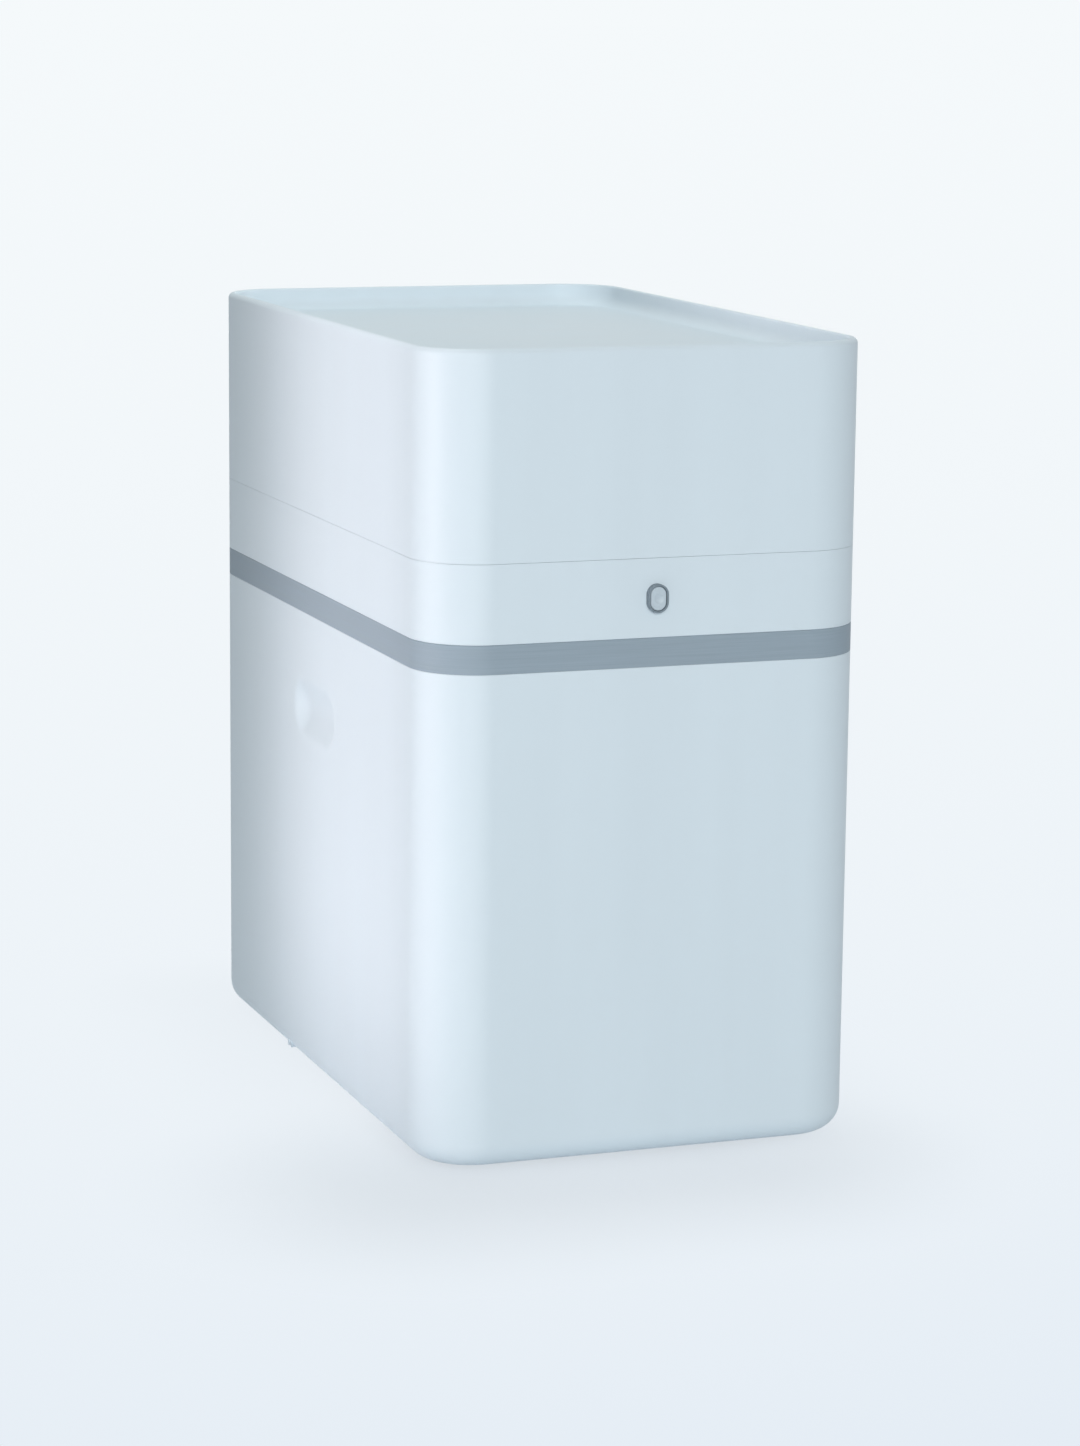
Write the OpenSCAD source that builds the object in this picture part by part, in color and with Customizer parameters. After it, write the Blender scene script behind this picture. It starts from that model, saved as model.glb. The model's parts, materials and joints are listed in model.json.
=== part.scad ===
// Compact twin-vessel water softener: a white two-piece casing with a grey trim band,
// a hinged hood with a dished top, a push-button catch, and the works inside.
// Millimetres. +Z is up, the front faces -Y, and the origin is on the floor under the middle of the box.

/* [Cabinet] */
// Width of the body across the front
body_w = 290; // [286:1:320]
// Depth of the body from its front face to its rear face
body_d = 480; // [470:1:540]
// Height of the lower cabinet above its feet
cabinet_h = 310; // [290:1:345]
// Radius of the upright corners
corner_r = 41.5; // [38:0.5:44]
// Thickness of the moulded walls
wall_t = 3.2; // [2.6:0.1:4]
// Thickness of the cabinet's floor
floor_t = 4; // [3:0.5:6]
// Radius of the cabinet's bottom edge
base_r = 16; // [8:1:18]
// Width of the cabinet's inward top flange
flange_w = 18; // [17:0.5:21]
// Thickness of the cabinet's top flange and of the collar's foot
flange_t = 4; // [3:0.5:5]

/* [Feet] */
// Height of the rubber feet under the cabinet
foot_h = 4; // [3:0.5:8]
// Radius of a foot
foot_r = 15; // [10:1:20]
// Distance from the outer faces to a foot's centre
foot_inset = 44; // [38:1:60]
// Depth that a foot sits in its recess
foot_seat = 1; // [0.5:0.5:2]

/* [Grip recesses] */
// Straight length of a grip recess between its round ends
grip_l = 50; // [40:1:60]
// Radius of the scoop
grip_r = 22; // [18:1:26]
// Depth of the scoop in the wall
grip_depth = 7; // [5:0.5:9]
// Height of the scoop's centre above the floor
grip_z = 250; // [200:1:260]
// Distance from the rear face to the scoop's centre
grip_back = 240; // [200:1:280]

/* [Trim band] */
// Height of the grey band
band_h = 18; // [14:0.5:24]
// Thickness of the band
band_t = 3; // [2.4:0.1:3.4]

/* [Collar] */
// Height of the white collar above the band
collar_h = 49; // [46:0.5:56]
// Thickness of the skirt that stands inside the band
skirt_t = 3; // [2.4:0.1:4]
// Width of the ledge that carries the gasket
ledge_w = 9; // [7:0.5:11]
// Thickness of the gasket ledge and of the lid's flange
ledge_t = 3; // [2:0.5:4]
// Height of the lid gasket
gasket_h = 6; // [4:0.5:7]

/* [Lid] */
// Height of the hood above the seam
lid_h = 128.6; // [115:0.2:160]
// Gap at the seam under the hood
lid_gap = 0.4; // [0.3:0.1:1]
// Thickness of the rim around the dish
rim_t = 5; // [4:0.5:8]
// Radius of the rim's outer edge
rim_r = 3.5; // [2:0.5:6]
// Depth of the dish in the top
dish_depth = 15; // [8:0.5:22]
// Radius between the dish's sides and its floor
dish_r = 8; // [4:0.5:12]

/* [Hinge] */
// Distance of a hinge from the middle
hinge_x = 81; // [80:0.5:83]
// Width of a hinge
hinge_w = 40; // [34:1:42]
// Distance of the hinge axis behind the rear face
hinge_out = 6; // [5.5:0.1:8]
// Radius of a hinge knuckle
knuckle_r = 5; // [4.5:0.1:5.2]
// Length of the lid's knuckle
knuckle_l = 14; // [10:1:18]
// Radius of the hinge and latch pins
pin_r = 2; // [1.5:0.1:2.5]
// Thickness of the hinge leaves
leaf_t = 2.5; // [2:0.1:3]
// Height of a hinge leaf
leaf_h = 24; // [20:1:26]

/* [Button and latch] */
// Width of the raised oval ring around the button
bezel_w = 13.2; // [12:0.1:18]
// Height of the raised oval ring
bezel_h = 17.8; // [16:0.1:22]
// Thickness of the ring
bezel_t = 1.3; // [1:0.1:2]
// How far the ring stands proud of the front
bezel_proud = 4.5; // [3.5:0.1:6]
// Travel of the button
press = 3; // [2:0.1:3.5]
// Radius of the button's stem
stem_r = 3.5; // [2.5:0.1:4]
// Length of the latch's lower arm
latch_arm = 14; // [12:0.5:15]
// Width of the latch
latch_w = 16; // [12:1:20]

/* [Salt and brine] */
// Height of the salt grid above the cabinet's floor
grid_h = 56; // [40:1:80]
// Thickness of the salt grid
grid_t = 4; // [3:0.5:6]
// Thickness of the partition panel
part_t = 3; // [2:0.5:4]
// Outer radius of the brine well
well_r = 36; // [34:1:40]
// Travel of the brine float
float_travel = 45; // [20:1:48]
// Radius of the brine float
float_r = 20; // [16:1:21]
// Outer radius of the brine tube
brine_r = 4.75; // [4:0.05:5]
// Radius of the brine tube's bend
bend_r = 24; // [20:1:30]

/* [Resin vessels] */
// Outer radius of a resin vessel
vessel_r = 57; // [50:1:60]
// Wall of a resin vessel
vessel_t = 4; // [3:0.5:6]
// Gap between the two vessels
vessel_gap = 6; // [4:1:12]
// Radius of the vessels' shoulders
shoulder_r = 36; // [24:1:38]
// Outer radius of a vessel's neck
neck_r = 30; // [26:1:31]
// Wall of a vessel's neck
neck_t = 5; // [4:0.5:6]
// Length of a vessel's neck
neck_l = 26; // [24:1:34]
// Outer radius of the riser tubes
riser_r = 10; // [8:0.5:12]
// Share of a vessel that the resin fills
resin_fill = 0.65; // [0.4:0.05:0.75]
// Space kept behind the vessels for the ports and pipes
rear_bay = 50; // [48:1:60]

/* [Control head] */
// Height of the head's manifold block
head_h = 36; // [34:1:40]
// Depth of the manifold block
head_d = 88; // [86:1:92]
// Gear module
gear_m = 1.25; // [1.1:0.05:1.25]
// Teeth on the meter's pinion
pinion_teeth = 12; // [12:1:14]
// Teeth on the index wheel
wheel_teeth = 60; // [54:1:60]
// Radius of the valve disc
disc_r = 31; // [28:1:32]
// Radius of the index shaft
shaft_r = 4; // [3:0.1:4.5]
// Radius of the index knob
knob_r = 16; // [12:1:20]

/* [Ports] */
// How far the pipe stubs reach behind the rear face
stub_l = 28; // [24:1:36]
// Radius of the stubs' three-quarter inch pipe thread
thread_r = 13.2; // [12:0.05:13.4]
// Distance of the inlet and the outlet from the middle
port_x = 40; // [38:0.5:41]
// Radius of the waterways
way_r = 7.5; // [5:0.5:8]
// Radius of the stopcock plugs
plug_r = 11; // [10:0.5:12]
// Thickness of the port nuts
nut_t = 8; // [6:0.5:9]
// Radius of the drain spigot
drain_r = 6.25; // [5:0.05:6.5]
// Radius of the overflow spigot
overflow_r = 6.25; // [5.5:0.25:6.5]

/* [Hidden] */
$fn = 96;

// Clearances
slip = 0.2;        // a piece dropped into a seat
running = 0.06;    // a shaft turning or sliding in its bore
snug = 0.02;       // a shaft held in a bore of its own body
cut = 1;           // how far a cutter runs past the face it opens
side_gap = 0.3;    // beside a turning piece
panel_gap = 1.5;   // round a loose panel

// Colours
white = [0.90, 0.93, 0.95];
pale = [0.82, 0.86, 0.88];
grey = [0.52, 0.58, 0.62];
dark = [0.25, 0.28, 0.30];
black = [0.10, 0.10, 0.11];
blue = [0.20, 0.36, 0.55];
amber = [0.72, 0.45, 0.16];
steel = [0.70, 0.72, 0.74];
brass = [0.76, 0.62, 0.34];

// Places front to back
front_y = -(body_d + stub_l - bezel_proud) / 2;
rear_y = front_y + body_d;
mid_y = (front_y + rear_y) / 2;
rear_in = rear_y - wall_t;

// Levels
cab_z = foot_h;
floor_z = cab_z + floor_t;
cab_top = cab_z + cabinet_h;
collar_z = cab_top + band_h;
seam_z = collar_z + collar_h;
lid_z = seam_z + lid_gap;
top_z = lid_z + lid_h;
ledge_z = seam_z - gasket_h - ledge_t;
port_z = collar_z + collar_h / 2;

// Casing
skirt_in = band_t + slip;
screw_in = skirt_in + skirt_t + (flange_w - skirt_in - skirt_t) / 2;
boss_r = 5;
boss_h = 12;
screw_r = 1.6;
screw_hole_r = 1.8;
head_r = 4;
head_t = 2.4;
case_screw_l = 14;
ledge_in = wall_t + ledge_w;
drop_w = body_w - 2 * flange_w;
rib_t = 2.4;
rib_reach = 6;
grip_out = body_w / 2 + grip_r - grip_depth;

// Hinge
axis_y = rear_y + hinge_out;
axis_z = seam_z + lid_gap / 2;
leaf_clear = 6;
leaf_screw = 12;
leaf_screw_l = leaf_t + 2 * wall_t;

// Button and latch: the pivot is one arm above the button
button_z = port_z;
stem_gap = 0.5;
pad_r = 3;
hub_r = 5;
arm_t = 4;
plate_t = 3;
cheek_t = 3;
plug_flange_t = 2;
bezel_lip = 2;
bezel_lip_t = 1.2;
front_in = front_y + wall_t;
press_gap = 0.6;
latch_stand = bezel_lip_t + slip + plug_flange_t + press + press_gap;
latch_plate_y = front_in + latch_stand;
latch_boss_r = 4.5;
latch_y = latch_plate_y + plate_t + 1 + hub_r;
latch_z = button_z + latch_arm;
stem_end = latch_y - pad_r - stem_gap;
striker_t = 2;
striker_z = lid_z + ledge_t;
nose_gap = 0.5;
nose_z = striker_z + striker_t + nose_gap;
nose_t = 4;
nose_reach = 6;
window_back = 3;
window_front = 9;
bar_w = 9;
spring_r = 3.2;
spring_wire = 0.4;
spring_turns = 4.5;
spring_len = 9;
spring_sides = 6;
spring_rings = 8;
spring_touch = 0.1;
back_stop = latch_y + arm_t / 2 + 2 * spring_touch + spring_len;
plate_half = latch_w / 2 + cheek_t + side_gap + 9;
ear_x = latch_w / 2 + cheek_t + side_gap + 4.5;

// Rear bay and vessels
vessel_x = vessel_r + vessel_gap / 2;
vessel_y = rear_in - rear_bay - vessel_r;
cradle_t = 4;
cradle_ring_t = 4;
cradle_ring_h = 52;
vessel_z = floor_z + cradle_t;
head_bot = port_z - head_h / 2;
head_top = port_z + head_h / 2;
seal_t = 2;
neck_top = head_bot - seal_t;
vessel_h = neck_top - neck_l - vessel_z;
cup_l = 14;
cup_t = 3.8;
lip_r = neck_r + slip + cup_t + 4;
lip_t = 4;
clamp_t = 4;
clamp_lip = 2;
clamp_slit = 2;
riser_t = 2;
riser_dip = 2;
strainer_r = 14;
strainer_h = 40;
strainer_slots = 12;
upper_t = 8;
vessel_in = vessel_r - vessel_t;

// Partition and brine side
bay_gap = 8;
part_back = vessel_y - vessel_r - bay_gap;
part_front = part_back - part_t;
part_half = drop_w / 2 - 1;
part_top = cab_top - flange_t - bay_gap;
grid_z = floor_z + grid_h;
well_t = 2.5;
cap_t = 1.6;
cap_top_t = 3;
cap_skirt = 12;
cap_r = well_r + slip + cap_t;
well_x = drop_w / 2 - bay_gap - cap_r;
well_y = part_front - bay_gap - cap_r;
well_top = part_top;
riser_x = well_x - (well_r - well_t - brine_r - 5);
float_x = well_x + 6;
rod_r = 2.5;
valve_r = 13;
valve_h = float_travel + 15;
valve_boss_r = brine_r + 3;
valve_boss_h = 30;
valve_bore = 14;
float_h = 44;
float_lift = 20;
float_z = floor_z + valve_h + float_lift;
rod_dip = float_travel + 6;
rod_low = floor_z + valve_h - rod_dip;
rod_rest = 0.1;
guide_r = 6;
guide_l = 60;
rod_top = well_top - float_travel - 4;
brine_t = 1.75;
brine_way_r = brine_r - brine_t;
brine_socket = 10;
brine_nut_r = 10;
brine_nut_t = 9;

// Control head, about the index axis
pitch_pinion = gear_m * pinion_teeth / 2;
pitch_wheel = gear_m * wheel_teeth / 2;
gear_slack = 0.15;
meter_x = pitch_pinion + pitch_wheel + gear_slack;
gear_t = 6;
gear_lift = 10;
gear_z = head_top + gear_lift;
chamber_r = 14.5;
chamber_d = 22;
meter_plug_t = 5;
turbine_r = 12.5;
turbine_h = 10;
turbine_hub_r = 4;
blade_t = 1.2;
blade_in = 0.5;
blades = 8;
meter_shaft_r = 2;
shaft_pocket = 2;
blade_root = (turbine_hub_r + meter_shaft_r) / 2;
disc_t = 5;
cover_t = 3;
cover_gap = 1.5;
cover_in_h = gear_lift + gear_t + 3;
cover_left = pitch_wheel + gear_m + cover_gap + cover_t;
cover_right = meter_x + chamber_r + cover_t;
cover_d = 2 * (pitch_wheel + gear_m + cover_gap + cover_t);
cover_w = cover_left + cover_right;
cover_x = (cover_right - cover_left) / 2;
cover_corner = 20;
cover_ear_y = 30;
cover_ear_r = 6.5;
cover_ear_h = 6;
cover_screw_l = 7;
knob_lift = 1;
knob_z = head_top + cover_in_h + cover_t + knob_lift;
knob_h = 14;
knob_top = 2;
knob_flutes = 12;
head_w = 2 * max(vessel_x + lip_r + 2, cover_right + 2 * cover_ear_r + 2);
head_corner = 24;
feed_r = 4.5;
feed_z = head_bot + 7;
inner_port = 12;
outer_port = 22;
end_port = 20;
drain_way_r = 4;
port_step = 0.8;
socket_l = 12;
pipe_r = way_r + 2;
drain_pipe_r = drain_way_r + 2;

// Ports
block_d = 42;
block_h = 29;
block_front = rear_in - block_d;
block_half = port_x + 18;
stem_y = block_front + 18;
plug_floor = 2.5;
gland_t = 5;
handle_lift = 4;
handle_h = 12;
handle_l = 24;
handle_t = 7;
handle_hub_r = 8;
shank_r = thread_r - 0.4;
nut_hex_r = 18.5;
nut_play = 0.2;
drain_hex_r = 11;
drain_hex_t = 6;
drain_shank_r = drain_r + 0.75;
drain_shank_l = 12;
overflow_drop = 46;
overflow_z = cab_top - overflow_drop;
overflow_bore = overflow_r - 2.4;
overflow_shank_r = overflow_r + 0.8;
overflow_flange_r = overflow_r + 7;
overflow_x = -(body_w / 2 - corner_r - overflow_flange_r - 3);
overflow_flange_t = 4;
overflow_seal_t = 2;
overflow_nut_t = 8;

// Shared shapes

// Rounded rectangle about the origin
module round_rect(w, d, r) {
    square([w - 2 * r, d], center = true);
    square([w, d - 2 * r], center = true);
    for (x = [-1, 1], y = [-1, 1])
        translate([x * (w / 2 - r), y * (d / 2 - r)]) circle(r = r);
}

// The body's outline, drawn in by inset
module outline(inset) {
    translate([0, mid_y]) round_rect(body_w - 2 * inset, body_d - 2 * inset, corner_r - inset);
}

// Upright ring between two insets of the body's outline
module casing_ring(outer, inner, z, h) {
    translate([0, 0, z]) linear_extrude(h) difference() {
        outline(outer);
        outline(inner);
    }
}

// Section of a tub with rounded bottom corners
module tub_section(w, h, r) {
    translate([-w / 2, r]) square([w, h - r]);
    translate([-w / 2 + r, 0]) square([w - 2 * r, h]);
    for (s = [-1, 1]) translate([s * (w / 2 - r), r]) circle(r = r);
}

// Solid tub about the body's middle, drawn in by inset, with upright corners and a rounded bottom edge
module tub(inset, z, h, edge_r) {
    w = body_w - 2 * inset;
    d = body_d - 2 * inset;
    r = corner_r - inset;
    translate([0, mid_y, z]) {
        rotate([90, 0, 0]) linear_extrude(d - 2 * r, center = true) tub_section(w, h, edge_r);
        rotate([90, 0, 90]) linear_extrude(w - 2 * r, center = true) tub_section(d, h, edge_r);
        for (q = [0:3])
            translate([(q == 0 || q == 3 ? 1 : -1) * (w / 2 - r), (q < 2 ? 1 : -1) * (d / 2 - r), 0])
                rotate([0, 0, 90 * q]) rotate_extrude(angle = 90) intersection() {
                    tub_section(2 * r, h, edge_r);
                    square([r, h]);
                }
    }
}

// Oval with flat sides, standing in X and Z, swept back along +Y from y
module oval(w, h, y, l) {
    translate([0, y, button_z]) rotate([-90, 0, 0]) linear_extrude(l) {
        square([w, h - w], center = true);
        for (s = [-1, 1]) translate([0, s * (h - w) / 2]) circle(d = w);
    }
}

// Cylinder along +Y from y
module rod_y(r, x, y, z, l, sides = $fn) {
    translate([x, y, z]) rotate([-90, 0, 0]) cylinder(r = r, h = l, $fn = sides);
}

// Cylinder along +X from x
module rod_x(r, x, y, z, l) {
    translate([x, y, z]) rotate([0, 90, 0]) cylinder(r = r, h = l);
}

// Cylinder along +Z from z
module rod_z(r, x, y, z, l) {
    translate([x, y, z]) cylinder(r = r, h = l);
}

// Pan-head screw, its head on z = 0 and its shank pointing down
module screw(l) {
    cylinder(r = head_r, h = head_t);
    translate([0, 0, -l]) cylinder(r = screw_r, h = l);
}

// Outline of an involute spur gear, its tooth centred on +X, thinned for backlash
function involute(base, t) =
    base * [cos(t) + t * PI / 180 * sin(t), sin(t) - t * PI / 180 * cos(t)];
function turned(p, a) = [p[0] * cos(a) - p[1] * sin(a), p[0] * sin(a) + p[1] * cos(a)];

module gear_outline(teeth) {
    pressure = 25;
    flank_steps = 5;
    backlash = 0.25;
    pitch = gear_m * teeth / 2;
    base = pitch * cos(pressure);
    root = pitch - 1.25 * gear_m;
    tip = pitch + gear_m;
    reach = sqrt(pow(tip / base, 2) - 1) * 180 / PI;
    start = sqrt(max(0, pow(max(root, base) / base, 2) - 1)) * 180 / PI;
    roll = tan(pressure) * 180 / PI - pressure;
    half = 90 / teeth - backlash / 2 / pitch * 180 / PI + roll;
    step = (reach - start) / flank_steps;
    flank = [for (i = [0:flank_steps]) turned(involute(base, start + step * i), -half)];
    foot = turned([root, 0], -half);
    side = root < base ? concat([foot], flank) : flank;
    tooth = concat(side, [for (i = [len(side) - 1:-1:0]) [side[i][0], -side[i][1]]]);
    polygon([for (k = [0:teeth - 1], p = tooth) turned(p, k * 360 / teeth)]);
}

// Coil spring along +Y, as one swept tube of wire
spring_steps = spring_turns * spring_rings;
function coil_at(i) = [
    spring_r * cos(360 * i / spring_rings),
    spring_wire + (spring_len - 2 * spring_wire) * i / spring_steps,
    spring_r * sin(360 * i / spring_rings)
];
function coil_ring(i) = let (a = 360 * i / spring_rings, c = coil_at(i))
    [for (k = [0:spring_sides - 1]) let (b = 360 * k / spring_sides, out = spring_wire * cos(b))
        c + [out * cos(a), spring_wire * sin(b), out * sin(a)]];
coil_gap = min([for (i = [0:spring_steps], j = [i + spring_rings / 2:1:spring_steps])
    norm(coil_at(i) - coil_at(j))]) - 2 * spring_wire;
echo("least gap between the latch spring's turns, mm", coil_gap);

module coil() {
    last = spring_steps * spring_sides;
    points = [for (i = [0:spring_steps]) each coil_ring(i)];
    sides = [for (i = [0:spring_steps - 1], k = [0:spring_sides - 1])
        let (a = i * spring_sides, n = (k + 1) % spring_sides)
        each [[a + k, a + spring_sides + k, a + spring_sides + n], [a + k, a + spring_sides + n, a + n]]];
    first_cap = [for (k = [1:spring_sides - 2]) [0, k, k + 1]];
    last_cap = [for (k = [1:spring_sides - 2]) [last, last + k + 1, last + k]];
    polyhedron(points, concat(sides, first_cap, last_cap));
}

// Places of the casing screws, on the flange
function casing_screws() = concat(
    [for (x = [-1, 1], y = [-1, 1]) [x * (body_w / 2 - screw_in), mid_y + y * body_d / 4]],
    [for (x = [-1, 1], y = [front_y + screw_in, rear_y - screw_in]) [x * body_w / 4, y]]);

// Casing

module grip_form(r) {
    rotate([-90, 0, 0]) rotate_extrude() intersection() {
        union() {
            translate([0, -grip_l / 2]) square([r, grip_l]);
            for (s = [-1, 1]) translate([0, s * grip_l / 2]) circle(r = r);
        }
        translate([0, -grip_l / 2 - r]) square([r, grip_l + 2 * r]);
    }
}

module grips(r) {
    for (s = [-1, 1]) translate([s * grip_out, rear_y - grip_back, grip_z]) grip_form(r);
}

module foot_places() {
    for (x = [-1, 1], y = [front_y + foot_inset, rear_y - foot_inset])
        translate([x * (body_w / 2 - foot_inset), y, 0]) children();
}

module cabinet() color(white) difference() {
    union() {
        difference() {
            tub(0, cab_z, cabinet_h, base_r);
            tub(wall_t, floor_z, cab_top - flange_t - floor_z, base_r - wall_t);
            translate([0, 0, floor_z + base_r]) linear_extrude(cabinet_h) outline(flange_w);
        }
        intersection() {
            grips(grip_r + wall_t);
            translate([0, 0, cab_z + base_r])
                linear_extrude(cabinet_h - base_r - flange_t) outline(wall_t / 2);
        }
        for (p = casing_screws()) rod_z(boss_r, p[0], p[1], cab_top - flange_t - boss_h, boss_h);
        for (s = [-1, 1], y = [part_front - slip - rib_t, part_back + slip])
            translate([s > 0 ? part_half - rib_reach : -body_w / 2 + wall_t / 2, y, floor_z + base_r])
                cube([body_w / 2 - wall_t / 2 - part_half + rib_reach, rib_t, part_top - floor_z - base_r]);
    }
    grips(grip_r);
    foot_places() translate([0, 0, cab_z - cut]) cylinder(r = foot_r + slip, h = cut + foot_seat);
    for (p = casing_screws()) rod_z(screw_hole_r, p[0], p[1], cab_top - case_screw_l, case_screw_l + cut);
    rod_y(overflow_shank_r + slip, overflow_x, rear_in - cut, overflow_z, wall_t + 2 * cut);
}

module feet() color(black) foot_places() cylinder(r = foot_r, h = foot_h + foot_seat);

module trim_band() color(grey) casing_ring(0, band_t, cab_top, band_h);

module collar() color(white) difference() {
    union() {
        casing_ring(0, wall_t, collar_z, collar_h);
        casing_ring(0, skirt_in + skirt_t, collar_z, flange_t);
        casing_ring(skirt_in, skirt_in + skirt_t, cab_top, band_h + flange_t);
        casing_ring(skirt_in, flange_w - 1, cab_top, flange_t);
        casing_ring(wall_t / 2, ledge_in, ledge_z, ledge_t);
        latch_screw_places() translate([0, 0, -latch_stand - cut])
            cylinder(r = latch_boss_r, h = latch_stand + cut);
    }
    for (p = casing_screws()) rod_z(screw_hole_r, p[0], p[1], cab_top - cut, flange_t + 2 * cut);
    oval(bezel_w + 2 * slip, bezel_h + 2 * slip, front_y - cut, wall_t + 2 * cut);
    for (x = [-port_x, port_x]) rod_y(thread_r + slip, x, rear_in - cut, port_z, wall_t + 2 * cut);
    rod_y(drain_shank_r + slip, 0, rear_in - cut, port_z, wall_t + 2 * cut);
    bracket_screw_places() translate([0, 0, -wall_t - cut]) cylinder(r = screw_hole_r, h = wall_t + 2 * cut);
    latch_screw_places() translate([0, 0, plate_t - leaf_screw_l - slip])
        cylinder(r = screw_hole_r, h = leaf_screw_l);
}

module collar_screws() color(steel) for (p = casing_screws())
    translate([p[0], p[1], cab_top + flange_t]) screw(case_screw_l);

module lid_gasket() color(black)
    casing_ring(wall_t + slip, ledge_in - 1, ledge_z + ledge_t, gasket_h + lid_gap / 2);

// Lid

module lid_hood() color(white) difference() {
    translate([0, 0, top_z + lid_z]) mirror([0, 0, 1]) tub(0, lid_z, lid_h, rim_r);
    tub(rim_t, top_z - dish_depth, dish_depth + cut, dish_r);
    translate([0, 0, lid_z + ledge_t])
        linear_extrude(lid_h - ledge_t - dish_depth - wall_t) outline(wall_t);
    translate([0, 0, lid_z - cut]) linear_extrude(ledge_t + 2 * cut) outline(ledge_in);
    strap_screw_places() translate([0, 0, -wall_t - cut]) cylinder(r = screw_hole_r, h = wall_t + 2 * cut);
}

module lid_striker() color(steel) difference() {
    translate([-latch_w / 2 - bar_w, front_in + slip, striker_z])
        cube([latch_w + 2 * bar_w, latch_y + window_back + bar_w - front_in - slip, striker_t]);
    translate([-latch_w / 2 - 2, latch_y - window_front, striker_z - cut])
        cube([latch_w + 4, window_front + window_back, striker_t + 2 * cut]);
}

// Hinges

module at_hinges() {
    for (s = [-1, 1]) translate([s * hinge_x, 0, 0]) children();
}

// A hinge screw's place: its head outside the leaf, its shank pointing into the wall
module leaf_screws(z) {
    at_hinges() for (x = [-leaf_screw, leaf_screw]) translate([x, rear_y, z]) rotate([-90, 0, 0]) children();
}

module bracket_screw_places() leaf_screws(seam_z - leaf_clear - leaf_h / 2) children();

module strap_screw_places() leaf_screws(lid_z + leaf_clear + leaf_h / 2) children();

module knuckle(x, l, bore) {
    difference() {
        rod_x(knuckle_r, x, axis_y, axis_z, l);
        rod_x(bore, x - cut, axis_y, axis_z, l + 2 * cut);
    }
}

// Block that joins a leaf to its knuckle, stopping short of the pin
module knuckle_web(x, l, z, h) {
    difference() {
        translate([x, rear_y, z]) cube([l, leaf_t, h]);
        rod_x(pin_r + slip, x - cut, axis_y, axis_z, l + 2 * cut);
    }
}

module hinge_brackets() color(grey) at_hinges() {
    arm = (hinge_w - knuckle_l) / 2 - side_gap;
    difference() {
        translate([-hinge_w / 2, rear_y, seam_z - leaf_clear - leaf_h]) cube([hinge_w, leaf_t, leaf_h]);
        for (x = [-leaf_screw, leaf_screw])
            rod_y(screw_hole_r, x, rear_y - cut, seam_z - leaf_clear - leaf_h / 2, leaf_t + 2 * cut);
    }
    for (x = [-hinge_w / 2, hinge_w / 2 - arm]) {
        knuckle(x, arm, pin_r + snug);
        knuckle_web(x, arm, seam_z - leaf_clear - cut, leaf_clear + cut + lid_gap / 2);
    }
}

module hinge_straps() color(grey) at_hinges() {
    difference() {
        translate([-hinge_w / 2, rear_y, lid_z + leaf_clear]) cube([hinge_w, leaf_t, leaf_h]);
        for (x = [-leaf_screw, leaf_screw])
            rod_y(screw_hole_r, x, rear_y - cut, lid_z + leaf_clear + leaf_h / 2, leaf_t + 2 * cut);
    }
    knuckle(-knuckle_l / 2, knuckle_l, pin_r + running);
    knuckle_web(-knuckle_l / 2, knuckle_l, axis_z, lid_z + leaf_clear + cut - axis_z);
}

module hinge_pins() color(steel) at_hinges() {
    rod_x(pin_r, -hinge_w / 2 - cut, axis_y, axis_z, hinge_w + 2 * cut);
    for (x = [-hinge_w / 2 - 2 * cut, hinge_w / 2 + cut])
        rod_x(pin_r + 1.2, x, axis_y, axis_z, cut);
}

module strap_screws() color(steel)
    strap_screw_places() translate([0, 0, leaf_t]) screw(leaf_screw_l);

module bracket_screws() color(steel) {
    bracket_screw_places() translate([0, 0, leaf_t]) screw(leaf_screw_l);
    latch_screw_places() translate([0, 0, plate_t]) screw(leaf_screw_l);
}

// Button and latch

// Places of the latch bracket's screws, on the bosses behind the front wall
module latch_screw_places() {
    for (x = [-ear_x, ear_x]) translate([x, latch_plate_y, button_z]) rotate([-90, 0, 0]) children();
}

module button_bezel() color(dark) difference() {
    depth = bezel_proud + wall_t + bezel_lip_t;
    union() {
        oval(bezel_w, bezel_h, front_y - bezel_proud, depth);
        oval(bezel_w + 2 * bezel_lip, bezel_h + 2 * bezel_lip, front_in, bezel_lip_t);
    }
    oval(bezel_w - 2 * bezel_t, bezel_h - 2 * bezel_t, front_y - bezel_proud - cut, depth + 2 * cut);
}

module release_button() color(pale) {
    face_in = 0.5;
    plug_w = bezel_w - 2 * bezel_t - 2 * slip;
    plug_h = bezel_h - 2 * bezel_t - 2 * slip;
    face_y = front_y - bezel_proud + face_in;
    flange_y = front_in + bezel_lip_t + slip;
    dimple_r = 8.6;
    dimple = 0.6;
    difference() {
        oval(plug_w, plug_h, face_y, flange_y - face_y);
        translate([0, face_y + dimple - dimple_r, button_z]) sphere(r = dimple_r);
    }
    oval(bezel_w, bezel_h, flange_y, plug_flange_t);
    rod_y(stem_r, 0, flange_y, button_z, stem_end - flange_y);
}

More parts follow.
